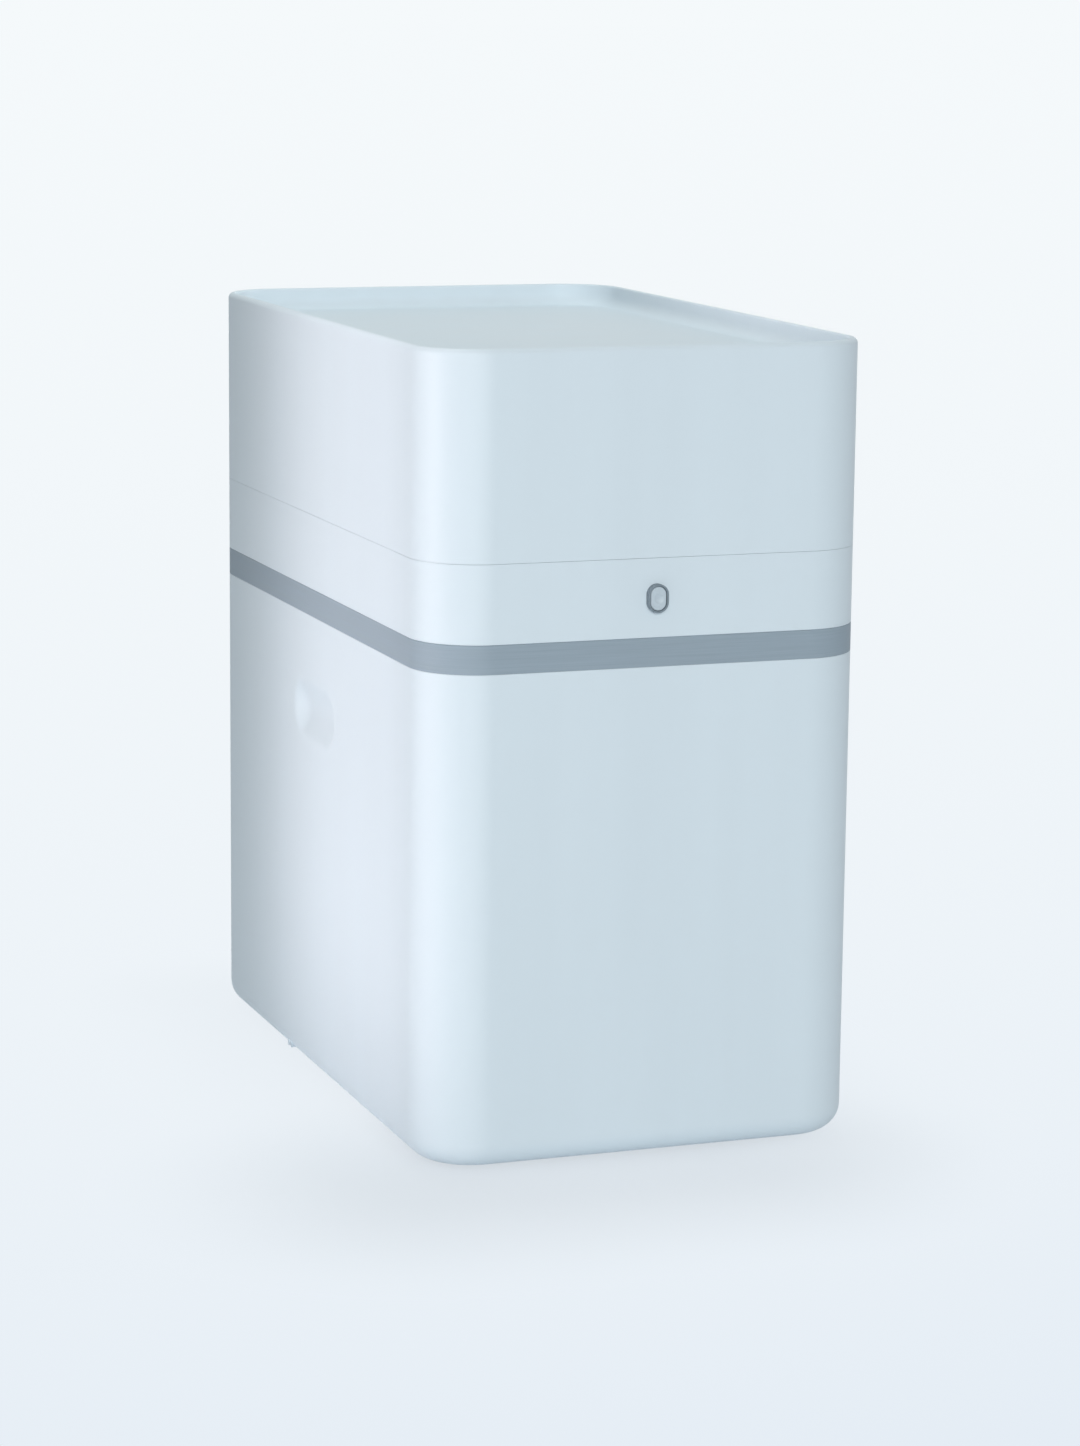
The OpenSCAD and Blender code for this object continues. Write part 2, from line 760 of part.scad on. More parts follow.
module latch_bracket() color(pale) {
    back = back_stop + cheek_t;
    cheek_low = 5;
    plate_h = bezel_h + 6;
    difference() {
        translate([-plate_half, latch_plate_y, button_z - plate_h / 2])
            cube([2 * plate_half, plate_t, plate_h]);
        rod_y(stem_r + running, 0, latch_plate_y - cut, button_z, plate_t + 2 * cut);
        latch_screw_places() translate([0, 0, -cut]) cylinder(r = screw_hole_r, h = plate_t + 2 * cut);
    }
    for (x = [-latch_w / 2 - side_gap - cheek_t, latch_w / 2 + side_gap]) difference() {
        union() {
            translate([x, latch_plate_y + plate_t / 2, button_z - cheek_low])
                cube([cheek_t, back - latch_plate_y - plate_t / 2, latch_arm + cheek_low]);
            rod_x(hub_r, x, latch_y, latch_z, cheek_t);
        }
        rod_x(pin_r + snug, x - cut, latch_y, latch_z, cheek_t + 2 * cut);
    }
    translate([-latch_w / 2 - side_gap - cut, back_stop, button_z - cheek_low])
        cube([latch_w + 2 * side_gap + 2 * cut, cheek_t, 2 * cheek_low]);
}

module latch_hook() color(dark) {
    arm_w = latch_w - 4;
    difference() {
        union() {
            rod_x(hub_r, -latch_w / 2, latch_y, latch_z, latch_w);
            rod_x(pad_r, -arm_w / 2, latch_y, button_z, arm_w);
            translate([-arm_w / 2, latch_y - arm_t / 2, button_z])
                cube([arm_w, arm_t, nose_z + nose_t - button_z]);
            translate([-arm_w / 2, latch_y, nose_z]) cube([arm_w, nose_reach, nose_t]);
        }
        rod_x(pin_r + running, -latch_w, latch_y, latch_z, 2 * latch_w);
        translate([-latch_w, latch_y + arm_t / 2, button_z - pad_r - cut])
            cube([2 * latch_w, pad_r, 2 * pad_r + 2 * cut]);
    }
}

module latch_pin() color(steel) {
    half = latch_w / 2 + cheek_t + side_gap + cut;
    rod_x(pin_r, -half, latch_y, latch_z, 2 * half);
}

module latch_spring() color(steel)
    translate([0, latch_y + arm_t / 2 + spring_touch, button_z]) coil();

// Salt and brine side

module salt_grid() color(pale) {
    leg_r = 8;
    leg_in = 55;
    slot_w = 4;
    slot_l = 30;
    pitch_x = 12;
    pitch_y = 42;
    inset = flange_w + panel_gap;
    back = part_front - slip - rib_t - panel_gap;
    front = front_y + inset;
    edge = 10;
    half = body_w / 2 - inset - edge;
    nx = floor(half / pitch_x);
    ny = floor((back - front - 2 * edge - slot_l) / pitch_y);
    difference() {
        translate([0, 0, grid_z]) linear_extrude(grid_t) intersection() {
            outline(inset);
            translate([-body_w, front - cut]) square([2 * body_w, back - front + cut]);
        }
        for (i = [-nx:nx], j = [0:ny])
            let (x = i * pitch_x, y = front + edge + slot_l / 2 + j * pitch_y)
                if (norm([x - well_x, y - well_y]) > well_r + slot_l && norm([x, y - front]) > leg_in / 4
                    && (abs(x) < half - corner_r / 2 || j > 0))
                    translate([x - slot_w / 2, y - slot_l / 2, grid_z - cut])
                        cube([slot_w, slot_l, grid_t + 2 * cut]);
        rod_z(well_r + panel_gap, well_x, well_y, grid_z - cut, grid_t + 2 * cut);
    }
    for (x = [-1, 0, 1], y = [front + leg_in, back - leg_in])
        if (x < 1 || y < mid_y - leg_in)
            rod_z(leg_r, x * (body_w / 2 - leg_in), y, floor_z, grid_h);
}

module salt_partition() color(pale) translate([-part_half, part_front, floor_z])
    difference() {
        cube([2 * part_half, part_t, part_top - floor_z]);
        for (x = [part_half / 2, part_half, part_half * 1.5])
            translate([x, -cut, 16]) rotate([-90, 0, 0]) cylinder(r = 9, h = part_t + 2 * cut);
    }

module brine_well() color(pale) difference() {
    rod_z(well_r, well_x, well_y, floor_z, well_top - floor_z);
    rod_z(well_r - well_t, well_x, well_y, floor_z - cut, well_top - floor_z + 2 * cut);
    for (a = [0:60:120]) translate([well_x, well_y, floor_z + 6]) rotate([0, 0, a])
        translate([-2 * well_r, -3, 0]) cube([4 * well_r, 6, 30]);
}

module brine_well_cap() color(grey) difference() {
    union() {
        difference() {
            rod_z(cap_r, well_x, well_y, well_top - cap_skirt, cap_skirt + cap_top_t);
            rod_z(well_r + slip, well_x, well_y, well_top - cap_skirt - cut, cap_skirt + cut);
        }
        rod_z(guide_r, float_x, well_y, well_top - guide_l, guide_l + cut);
    }
    rod_z(rod_r + running, float_x, well_y, well_top - guide_l - cut, guide_l + cap_top_t + 2 * cut);
    rod_z(brine_r + slip, riser_x, well_y, well_top - cut, cap_top_t + 2 * cut);
}

module brine_valve() color(dark) difference() {
    bridge_w = 2 * valve_boss_r - 2;
    union() {
        rod_z(valve_r, float_x, well_y, floor_z, valve_h);
        rod_z(valve_boss_r, riser_x, well_y, floor_z, valve_boss_h);
        translate([riser_x, well_y - bridge_w / 2, floor_z])
            cube([float_x - riser_x, bridge_w, valve_boss_h - valve_bore / 2]);
    }
    rod_z(rod_r + running, float_x, well_y, rod_low - rod_rest, rod_dip + rod_rest + cut);
    rod_z(brine_r + slip, riser_x, well_y, floor_z + valve_boss_h - valve_bore, valve_bore + cut);
}

module brine_float() color(blue) difference() {
    translate([float_x, well_y, float_z]) rotate_extrude() {
        edge = 4;
        square([float_r - edge, float_h]);
        translate([0, edge]) square([float_r, float_h - 2 * edge]);
        for (z = [edge, float_h - edge]) translate([float_r - edge, z]) circle(r = edge);
    }
    rod_z(rod_r + snug, float_x, well_y, float_z - cut, float_h + 2 * cut);
}

module float_rod() color(steel) {
    clip_t = 2;
    rod_z(rod_r, float_x, well_y, rod_low, rod_top - rod_low);
    for (z = [float_z - clip_t, float_z + float_h]) rod_z(rod_r + 2.5, float_x, well_y, z, clip_t);
}

// A tube's section at radius r, swept up from the brine valve, over one bend and back to the head
module brine_route(r) {
    low = floor_z + valve_boss_h - valve_bore;
    run = vessel_y - head_d / 2 + brine_socket - well_y - bend_r;
    rod_z(r, riser_x, well_y, low, port_z - bend_r - low);
    translate([riser_x, well_y + bend_r, port_z - bend_r]) rotate([90, 0, -90])
        rotate_extrude(angle = 90) translate([bend_r, 0]) circle(r = r);
    rod_y(r, riser_x, well_y + bend_r, port_z, run);
}

module brine_tube() color(white) difference() {
    brine_route(brine_r);
    brine_route(brine_way_r);
    rod_z(brine_way_r, riser_x, well_y, floor_z + valve_boss_h - valve_bore - cut, 2 * cut);
    rod_y(brine_way_r, riser_x, vessel_y - head_d / 2 + brine_socket - cut, port_z, 2 * cut);
}

module brine_nut() color(dark) difference() {
    rod_y(brine_nut_r, riser_x, vessel_y - head_d / 2 - brine_nut_t, port_z, brine_nut_t, 6);
    rod_y(brine_r + slip, riser_x, vessel_y - head_d / 2 - brine_nut_t - cut, port_z, brine_nut_t + 2 * cut);
}

module overflow_spigot() color(dark) difference() {
    seat_y = rear_in - overflow_seal_t;
    union() {
        rod_y(overflow_flange_r, overflow_x, seat_y - overflow_flange_t, overflow_z, overflow_flange_t);
        rod_y(overflow_shank_r, overflow_x, seat_y - cut, overflow_z,
            rear_y + overflow_nut_t - seat_y + cut);
        rod_y(overflow_r, overflow_x, rear_y, overflow_z, stub_l);
    }
    rod_y(overflow_bore, overflow_x, seat_y - 2 * overflow_flange_t, overflow_z, body_d);
}

module overflow_seal() color(black) difference() {
    rod_y(overflow_flange_r, overflow_x, rear_in - overflow_seal_t, overflow_z, overflow_seal_t);
    rod_y(overflow_shank_r + slip, overflow_x, rear_in - 2 * overflow_seal_t, overflow_z,
        3 * overflow_seal_t);
}

module overflow_nut() color(dark) difference() {
    rod_y(overflow_flange_r + 1, overflow_x, rear_y, overflow_z, overflow_nut_t, 6);
    rod_y(overflow_shank_r + slip, overflow_x, rear_y - cut, overflow_z, overflow_nut_t + 2 * cut);
}

// Resin vessels

module at_vessels() {
    for (s = [-1, 1]) translate([s * vessel_x, vessel_y, 0]) children();
}

module vessel_cradle() color(dark) difference() {
    union() {
        translate([0, vessel_y, floor_z]) linear_extrude(cradle_t)
            square([2 * vessel_x, 2 * (vessel_r - 8)], center = true);
        at_vessels() rod_z(vessel_r + slip + cradle_ring_t, 0, 0, floor_z, cradle_t + cradle_ring_h);
    }
    at_vessels() {
        rod_z(vessel_r + slip, 0, 0, vessel_z, cradle_ring_h + cut);
        for (a = [45, 135]) rotate([0, 0, a])
            translate([-2 * vessel_r, -8, vessel_z]) cube([4 * vessel_r, 16, cradle_ring_h / 2]);
    }
    translate([-vessel_gap / 2 - slip - cradle_ring_t, vessel_y - 20, vessel_z])
        cube([vessel_gap + 2 * (slip + cradle_ring_t), 40, cradle_ring_h + cut]);
}

// Half section of a vessel's body of radius r and height h, with rounded shoulders
module vessel_half(r, h, edge) {
    intersection() {
        union() {
            translate([0, edge]) square([r, h - 2 * edge]);
            square([r - edge, h]);
            for (z = [edge, h - edge]) translate([r - edge, z]) circle(r = edge);
        }
        square([r, h]);
    }
}

module resin_vessel() color(blue) rotate_extrude() difference() {
    union() {
        translate([0, vessel_z]) vessel_half(vessel_r, vessel_h, shoulder_r);
        translate([0, vessel_z + vessel_h - vessel_t]) square([neck_r, neck_l + vessel_t]);
        translate([0, head_bot - cup_l - slip - lip_t]) square([lip_r, lip_t]);
    }
    translate([0, vessel_z + vessel_t])
        vessel_half(vessel_in, vessel_h - 2 * vessel_t, shoulder_r - vessel_t);
    translate([0, vessel_z + vessel_h - 3 * vessel_t]) square([neck_r - neck_t, neck_l + 4 * vessel_t]);
}

module resin_vessel_left() translate([-vessel_x, vessel_y, 0]) resin_vessel();

module resin_vessel_right() translate([vessel_x, vessel_y, 0]) resin_vessel();

module resin_bed() color(amber) rotate_extrude() difference() {
    intersection() {
        translate([0, vessel_z + vessel_t + slip])
            vessel_half(vessel_in - slip, vessel_h - 2 * vessel_t - 2 * slip, shoulder_r - vessel_t);
        translate([0, vessel_z]) square([vessel_r, vessel_h * resin_fill]);
    }
    square([strainer_r + slip, vessel_z + vessel_t + strainer_h + slip]);
    square([riser_r + slip, vessel_z + vessel_h]);
}

module resin_bed_left() translate([-vessel_x, vessel_y, 0]) resin_bed();

module resin_bed_right() translate([vessel_x, vessel_y, 0]) resin_bed();

module riser_tubes() color(white) at_vessels() difference() {
    low = vessel_z + vessel_t + strainer_h - 10;
    rod_z(riser_r, 0, 0, low, head_bot + riser_dip - low);
    rod_z(riser_r - riser_t, 0, 0, low - cut, head_bot + riser_dip - low + 2 * cut);
}

module lower_strainers() color(grey) at_vessels() translate([0, 0, vessel_z + vessel_t]) difference() {
    cylinder(r = strainer_r, h = strainer_h);
    translate([0, 0, strainer_h - 10]) cylinder(r = riser_r + snug, h = 10 + cut);
    translate([0, 0, 3]) cylinder(r = riser_r - riser_t, h = strainer_h);
    for (k = [0:strainer_slots - 1]) rotate([0, 0, k * 360 / strainer_slots])
        translate([riser_r - 3, -0.6, 6]) cube([strainer_r, 1.2, strainer_h - 20]);
}

module upper_strainers() color(grey) at_vessels() translate([0, 0, head_bot - upper_t]) difference() {
    cylinder(r = neck_r - neck_t - slip, h = upper_t);
    translate([0, 0, -cut]) cylinder(r = riser_r + slip, h = upper_t + 2 * cut);
    for (k = [0:strainer_slots - 1]) rotate([0, 0, k * 360 / strainer_slots])
        translate([riser_r + 3, -0.6, -cut]) cube([neck_r - neck_t - riser_r - 6, 1.2, upper_t + 2 * cut]);
}

module neck_seals() color(black) at_vessels() translate([0, 0, neck_top]) difference() {
    cylinder(r = neck_r - slip, h = seal_t);
    translate([0, 0, -cut]) cylinder(r = neck_r - neck_t + 1, h = seal_t + 2 * cut);
}

module neck_clamps() color(steel) at_vessels() difference() {
    lips = 2 * lip_t + slip;
    low = head_bot - cup_l - slip - lip_t;
    rotate_extrude() difference() {
        translate([neck_r + slip + cup_t + slip, low - slip - clamp_lip])
            square([lip_r + clamp_t - neck_r - 2 * slip - cup_t, lips + 2 * (slip + clamp_lip)]);
        translate([0, low - slip]) square([lip_r + slip, lips + 2 * slip]);
    }
    translate([-clamp_slit / 2, -lip_r - 2 * clamp_t, low - lips])
        cube([clamp_slit, 4 * clamp_t, 3 * lips]);
}

// Control head

module at_head() {
    translate([0, vessel_y, 0]) children();
}

module head_manifold() color(dark) at_head() difference() {
    union() {
        translate([0, 0, head_bot]) linear_extrude(head_h) round_rect(head_w, head_d, head_corner);
        for (s = [-1, 1]) translate([s * vessel_x, 0, 0]) {
            rod_z(neck_r + slip + cup_t, 0, 0, head_bot - cup_l, cup_l + cut);
            rod_z(lip_r, 0, 0, head_bot - cup_l, lip_t);
        }
    }
    // Sockets for the necks, and the ways from them to the valve's face
    for (s = [-1, 1]) {
        rod_z(neck_r + slip, s * vessel_x, 0, head_bot - cup_l - cut, cup_l + cut);
        rod_z(riser_r + slip, s * vessel_x, 0, head_bot - cut, riser_dip + slip + cut);
        rod_z(riser_r - riser_t, s * vessel_x, 0, head_bot, feed_z - head_bot);
        rod_x(feed_r, s > 0 ? inner_port - feed_r : -vessel_x, 0, feed_z, vessel_x - inner_port + feed_r);
        rod_z(feed_r - port_step, s * inner_port, 0, feed_z, head_top - feed_z + cut);
    }
    // Inlet through the meter, and the outlet
    rod_y(way_r, port_x, 0, port_z, head_d);
    rod_z(chamber_r, meter_x, 0, head_top - chamber_d, chamber_d + cut);
    rod_z(meter_shaft_r + running, meter_x, 0, head_top - chamber_d - shaft_pocket, chamber_d);
    rod_x(feed_r, outer_port - feed_r, 0, port_z, meter_x - outer_port + feed_r);
    rod_z(feed_r - port_step, outer_port, 0, port_z, head_h);
    rod_y(way_r, -port_x, 0, port_z, head_d);
    rod_x(feed_r, -port_x, 0, port_z, port_x - outer_port + feed_r);
    rod_z(feed_r - port_step, -outer_port, 0, port_z, head_h);
    for (x = [-port_x, port_x]) rod_y(pipe_r + slip, x, head_d / 2 - socket_l, port_z, socket_l + cut);
    // Drain and brine
    rod_y(drain_way_r, 0, end_port - drain_way_r, port_z, head_d);
    rod_z(drain_way_r - port_step, 0, end_port, port_z, head_h);
    rod_y(drain_pipe_r + slip, 0, head_d / 2 - socket_l, port_z, socket_l + cut);
    rod_y(brine_way_r, riser_x, -head_d, port_z, head_d - end_port + brine_way_r);
    rod_x(brine_way_r - port_step / 2, -brine_way_r, -end_port, port_z, riser_x + brine_way_r);
    rod_z(brine_way_r - port_step, 0, -end_port, port_z, head_h);
    rod_y(brine_r + slip, riser_x, -head_d / 2 - cut, port_z, brine_socket + cut);
    for (p = cover_ears()) rod_z(screw_hole_r, p[0], p[1], head_top - cover_screw_l, cover_screw_l + cut);
}

function cover_ears() = [
    for (x = [-cover_left - cover_ear_r + 2, cover_right + cover_ear_r - 2], y = [-1, 1])
        [x, y * cover_ear_y]
];

module meter_turbine() color(pale) at_head() translate([meter_x, 0, head_top - meter_plug_t - turbine_h - 2])
    difference() {
        union() {
            cylinder(r = turbine_hub_r, h = turbine_h);
            for (k = [0:blades - 1]) rotate([0, 0, k * 360 / blades])
                translate([blade_root, -blade_t / 2, blade_in])
                    cube([turbine_r - blade_root, blade_t, turbine_h - 2 * blade_in]);
        }
        translate([0, 0, -cut]) cylinder(r = meter_shaft_r + snug, h = turbine_h + 2 * cut);
    }

module meter_pinion() color(brass) at_head() translate([meter_x, 0, 0]) {
    low = head_top - chamber_d - shaft_pocket + side_gap;
    rod_z(meter_shaft_r, 0, 0, low, gear_z + gear_t - low);
    translate([0, 0, gear_z]) rotate([0, 0, 180 + 180 / pinion_teeth])
        linear_extrude(gear_t) gear_outline(pinion_teeth);
}

module meter_plug() color(grey) at_head() translate([meter_x, 0, head_top - meter_plug_t]) difference() {
    cylinder(r = chamber_r - snug, h = meter_plug_t);
    translate([0, 0, -cut]) cylinder(r = meter_shaft_r + running, h = meter_plug_t + 2 * cut);
}

module valve_disc() color(white) at_head() {
    difference() {
        rod_z(disc_r, 0, 0, head_top + slip, disc_t);
        for (a = [30:60:330]) rotate([0, 0, a])
            rod_z(feed_r, (inner_port + outer_port) / 2, 0, head_top - cut, disc_t + 3 * cut);
    }
    rod_z(shaft_r, 0, 0, head_top + slip, knob_z + knob_h - knob_top - head_top - 2 * slip);
}

module index_gear() color(white) at_head() difference() {
    web_hole_r = pitch_wheel / 5;
    union() {
        translate([0, 0, gear_z]) linear_extrude(gear_t) gear_outline(wheel_teeth);
        rod_z(shaft_r + 4, 0, 0, head_top + slip + disc_t, gear_z - head_top - slip - disc_t + cut);
    }
    rod_z(shaft_r + snug, 0, 0, head_top, gear_lift + gear_t + cut);
    for (a = [0:60:300]) rotate([0, 0, a])
        rod_z(web_hole_r, (pitch_wheel + shaft_r) / 2, 0, gear_z - cut, gear_t + 2 * cut);
}

module index_knob() color(blue) at_head() translate([0, 0, knob_z]) difference() {
    cylinder(r = knob_r, h = knob_h);
    translate([0, 0, -cut]) cylinder(r = shaft_r + snug, h = knob_h - knob_top + cut);
    for (k = [0:knob_flutes - 1]) rotate([0, 0, k * 360 / knob_flutes])
        translate([knob_r + 1.5, 0, 3]) cylinder(r = 3, h = knob_h);
    translate([-1.5, -knob_r - cut, knob_h - knob_top / 2]) cube([3, knob_r - 2, knob_top]);
}

module head_cover() color(pale) at_head() difference() {
    union() {
        translate([cover_x, 0, head_top]) linear_extrude(cover_in_h + cover_t)
            round_rect(cover_w, cover_d, cover_corner);
        for (p = cover_ears()) rod_z(cover_ear_r, p[0], p[1], head_top, cover_ear_h);
    }
    translate([cover_x, 0, head_top - cut]) linear_extrude(cover_in_h + cut)
        round_rect(cover_w - 2 * cover_t, cover_d - 2 * cover_t, cover_corner - cover_t);
    rod_z(shaft_r + running, 0, 0, head_top, 2 * cover_in_h);
    for (p = cover_ears()) rod_z(screw_hole_r, p[0], p[1], head_top - cut, cover_ear_h + 2 * cut);
}

module cover_screws() color(steel) at_head() for (p = cover_ears())
    translate([p[0], p[1], head_top + cover_ear_h]) screw(cover_ear_h + cover_screw_l - 2);

// Ports

module port_block() color(dark) difference() {
    union() {
        translate([-block_half, block_front, port_z - block_h / 2]) cube([2 * block_half, block_d, block_h]);
        for (x = [-port_x, port_x]) {
            rod_y(shank_r, x, rear_in - cut, port_z, wall_t + nut_t + 2 * cut);
            rod_y(thread_r, x, rear_y + nut_t + cut, port_z, stub_l - nut_t - cut);
        }
    }
    for (x = [-port_x, port_x]) {
        rod_y(way_r, x, block_front - cut, port_z, block_d + wall_t + stub_l + 2 * cut);
        rod_y(pipe_r + slip, x, block_front - cut, port_z, socket_l / 2 + cut);
        rod_z(plug_r + running, x, stem_y, port_z - block_h / 2 + plug_floor, block_h);
    }
    rod_y(drain_way_r, 0, block_front - cut, port_z, block_d + 2 * cut);
    rod_y(drain_pipe_r + slip, 0, block_front - cut, port_z, socket_l / 2 + cut);
    rod_y(drain_shank_r + slip, 0, rear_in - drain_shank_l, port_z, drain_shank_l + cut);
}

// Stopcock plug with its stem; the cross bore is open along Y
module stopcock(x) {
    low = port_z - block_h / 2 + plug_floor + slip;
    high = port_z + block_h / 2 - gland_t - slip;
    difference() {
        union() {
            rod_z(plug_r, x, stem_y, low, high - low);
            rod_z(shaft_r, x, stem_y, high - cut, gland_t + slip + handle_lift + handle_h - 2 + cut);
        }
        rod_y(way_r - running, x, stem_y - 2 * plug_r, port_z, 4 * plug_r);
    }
}

module inlet_plug() color(brass) stopcock(port_x);

module outlet_plug() color(brass) stopcock(-port_x);

// Wing handle, in line with the pipe when the cock is open
module cock_handle(x) {
    reach = (handle_l - handle_t) / 2;
    translate([x, stem_y, port_z + block_h / 2 + handle_lift]) difference() {
        union() {
            cylinder(r = handle_hub_r, h = handle_h);
            translate([-handle_t / 2, -reach, 0]) cube([handle_t, 2 * reach, handle_h]);
            for (y = [-reach, reach]) translate([0, y, 0]) cylinder(d = handle_t, h = handle_h);
        }
        translate([0, 0, -cut]) cylinder(r = shaft_r + snug, h = handle_h - 2 + cut + snug);
    }
}

module inlet_handle() color(blue) cock_handle(port_x);

module outlet_handle() color(blue) cock_handle(-port_x);

module plug_glands() color(brass) for (x = [-port_x, port_x])
    translate([x, stem_y, port_z + block_h / 2 - gland_t]) difference() {
        cylinder(r = plug_r + running - snug, h = gland_t);
        translate([0, 0, -cut]) cylinder(r = shaft_r + running, h = gland_t + 2 * cut);
    }

// Tube between the head's rear face and the port block
module bridge_pipe(x, r, bore) {
    low = vessel_y + head_d / 2 - socket_l + slip;
    high = block_front + socket_l / 2 - slip;
    difference() {
        rod_y(r, x, low, port_z, high - low);
        rod_y(bore, x, low - cut, port_z, high - low + 2 * cut);
    }
}

module water_pipes() color(white) for (x = [-port_x, port_x]) bridge_pipe(x, pipe_r, way_r);

module drain_pipe() color(white) bridge_pipe(0, drain_pipe_r, drain_way_r);

module drain_spigot() color(dark) difference() {
    union() {
        rod_y(drain_shank_r, 0, rear_in - drain_shank_l + slip, port_z, drain_shank_l - slip + wall_t + cut);
        rod_y(drain_hex_r, 0, rear_y, port_z, drain_hex_t, 6);
        rod_y(drain_r, 0, rear_y, port_z, stub_l);
    }
    rod_y(drain_way_r, 0, rear_in - 2 * drain_shank_l, port_z, 4 * drain_shank_l + stub_l);
}

module port_nuts() color(brass) for (x = [-port_x, port_x]) difference() {
    rod_y(nut_hex_r, x, rear_y, port_z, nut_t, 6);
    rod_y(thread_r + nut_play, x, rear_y - cut, port_z, nut_t + 2 * cut);
}

cabinet();
feet();
trim_band();
collar();
collar_screws();
lid_gasket();
lid_hood();
lid_striker();
hinge_straps();
strap_screws();
hinge_brackets();
hinge_pins();
bracket_screws();
button_bezel();
release_button();
latch_bracket();
latch_hook();
latch_pin();
latch_spring();
salt_grid();
salt_partition();
brine_well();
brine_well_cap();
brine_valve();
brine_float();
float_rod();
brine_tube();
brine_nut();
overflow_spigot();
overflow_seal();
overflow_nut();
vessel_cradle();
resin_vessel_left();
resin_vessel_right();
resin_bed_left();
resin_bed_right();
riser_tubes();
lower_strainers();
upper_strainers();
neck_seals();
neck_clamps();
head_manifold();
meter_turbine();
meter_pinion();
meter_plug();
valve_disc();
index_gear();
index_knob();
head_cover();
cover_screws();
port_block();
inlet_plug();
outlet_plug();
inlet_handle();
outlet_handle();
plug_glands();
water_pipes();
drain_pipe();
drain_spigot();
port_nuts();
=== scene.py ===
"""Looks of a compact cabinet water softener around its packed frame.

The file is laid out as an add-on and is run as a script. Sizes are metres in the frame's axes:
+Z is up and the front faces -Y.
"""

import json

import bpy
import numpy as np
from bpy.props import FloatProperty, FloatVectorProperty, PointerProperty
from mathutils import Matrix, Vector


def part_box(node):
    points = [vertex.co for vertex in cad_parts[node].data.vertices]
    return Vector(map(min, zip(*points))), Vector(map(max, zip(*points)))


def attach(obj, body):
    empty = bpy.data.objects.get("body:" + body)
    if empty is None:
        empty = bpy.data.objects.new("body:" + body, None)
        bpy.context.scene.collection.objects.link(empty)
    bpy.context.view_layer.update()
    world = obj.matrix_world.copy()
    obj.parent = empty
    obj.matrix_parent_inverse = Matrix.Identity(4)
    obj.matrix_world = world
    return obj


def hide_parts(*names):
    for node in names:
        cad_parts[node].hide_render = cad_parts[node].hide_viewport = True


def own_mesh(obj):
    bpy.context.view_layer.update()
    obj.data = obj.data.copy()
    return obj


bl_info = {
    "name": "Water softener looks",
    "version": (1, 0, 0),
    "blender": (4, 5, 0),
    "location": "View3D > Sidebar > Softener",
    "description": "Builds the casing, fittings, finishes and stage of a cabinet water softener",
    "category": "Object",
}

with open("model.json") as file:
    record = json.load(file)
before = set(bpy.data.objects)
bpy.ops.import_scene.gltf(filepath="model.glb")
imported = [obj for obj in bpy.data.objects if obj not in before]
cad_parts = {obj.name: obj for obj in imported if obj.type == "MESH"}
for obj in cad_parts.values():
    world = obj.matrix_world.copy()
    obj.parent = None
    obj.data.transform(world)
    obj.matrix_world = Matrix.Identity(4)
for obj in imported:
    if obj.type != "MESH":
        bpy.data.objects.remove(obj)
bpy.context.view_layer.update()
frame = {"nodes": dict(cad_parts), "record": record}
MM = 0.001

# Levels and places that the frame gives
CABINET_LOW, CABINET_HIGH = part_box("cabinet")
BAND_LOW, BAND_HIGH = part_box("trim_band")
HOOD_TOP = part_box("lid_hood")[1].z
SEAM_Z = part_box("collar")[1].z
FRONT_Y, REAR_Y = CABINET_LOW.y, CABINET_HIGH.y
MIDDLE = np.array([0.0, (FRONT_Y + REAR_Y) / 2, 0.0])

# Ways to lay a shape: where its own X, Y and Z go
LEVEL = [(1, 0, 0), (0, 1, 0), (0, 0, 1)]
REARWARD = [(1, 0, 0), (0, 0, -1), (0, 1, 0)]
UPRIGHT = [(1, 0, 0), (0, 0, 1), (0, 1, 0)]
SIDEWAYS = [(0, 1, 0), (0, 0, 1), (1, 0, 0)]

# A hexagon's width over its flats, as a share of that over its corners
HEXAGON = np.cos(np.pi / 6)

# Pan-head screws: radius and height of the head, outer radius of the thread
SCREW_HEAD, SCREW_TALL, SCREW_CORE = 4.0 * MM, 2.4 * MM, 1.6 * MM

# Radius at which a turned solid's ends are closed onto their middle; stems and pins take the finer
TIP = 0.5 * MM
FINE_TIP = 0.3 * MM


def linear(code):
    """An sRGB hex colour as linear red, green and blue."""
    c = np.array([int(code[i : i + 2], 16) for i in (0, 2, 4)]) / 255
    return tuple(float(v) for v in np.where(c <= 0.04045, c / 12.92, ((c + 0.055) / 1.055) ** 2.4))


def length(name, mm, about):
    """A length setting, given in millimetres and kept in metres."""
    return FloatProperty(
        name=name, description=about, default=mm * MM, min=0, unit="LENGTH", precision=5
    )


def turning(name, degrees, about):
    """An angle setting, given in degrees."""
    default = float(np.radians(degrees))
    return FloatProperty(name=name, description=about, subtype="ANGLE", default=default)


def watts(name, level, about):
    """The power setting of a lamp."""
    return FloatProperty(name=name, description=about, default=level, min=0, unit="POWER")


def colour(name, code, about):
    """A colour setting from its sRGB hex value."""
    return FloatVectorProperty(
        name=name, description=about, subtype="COLOR", size=3, min=0, max=1, default=linear(code)
    )


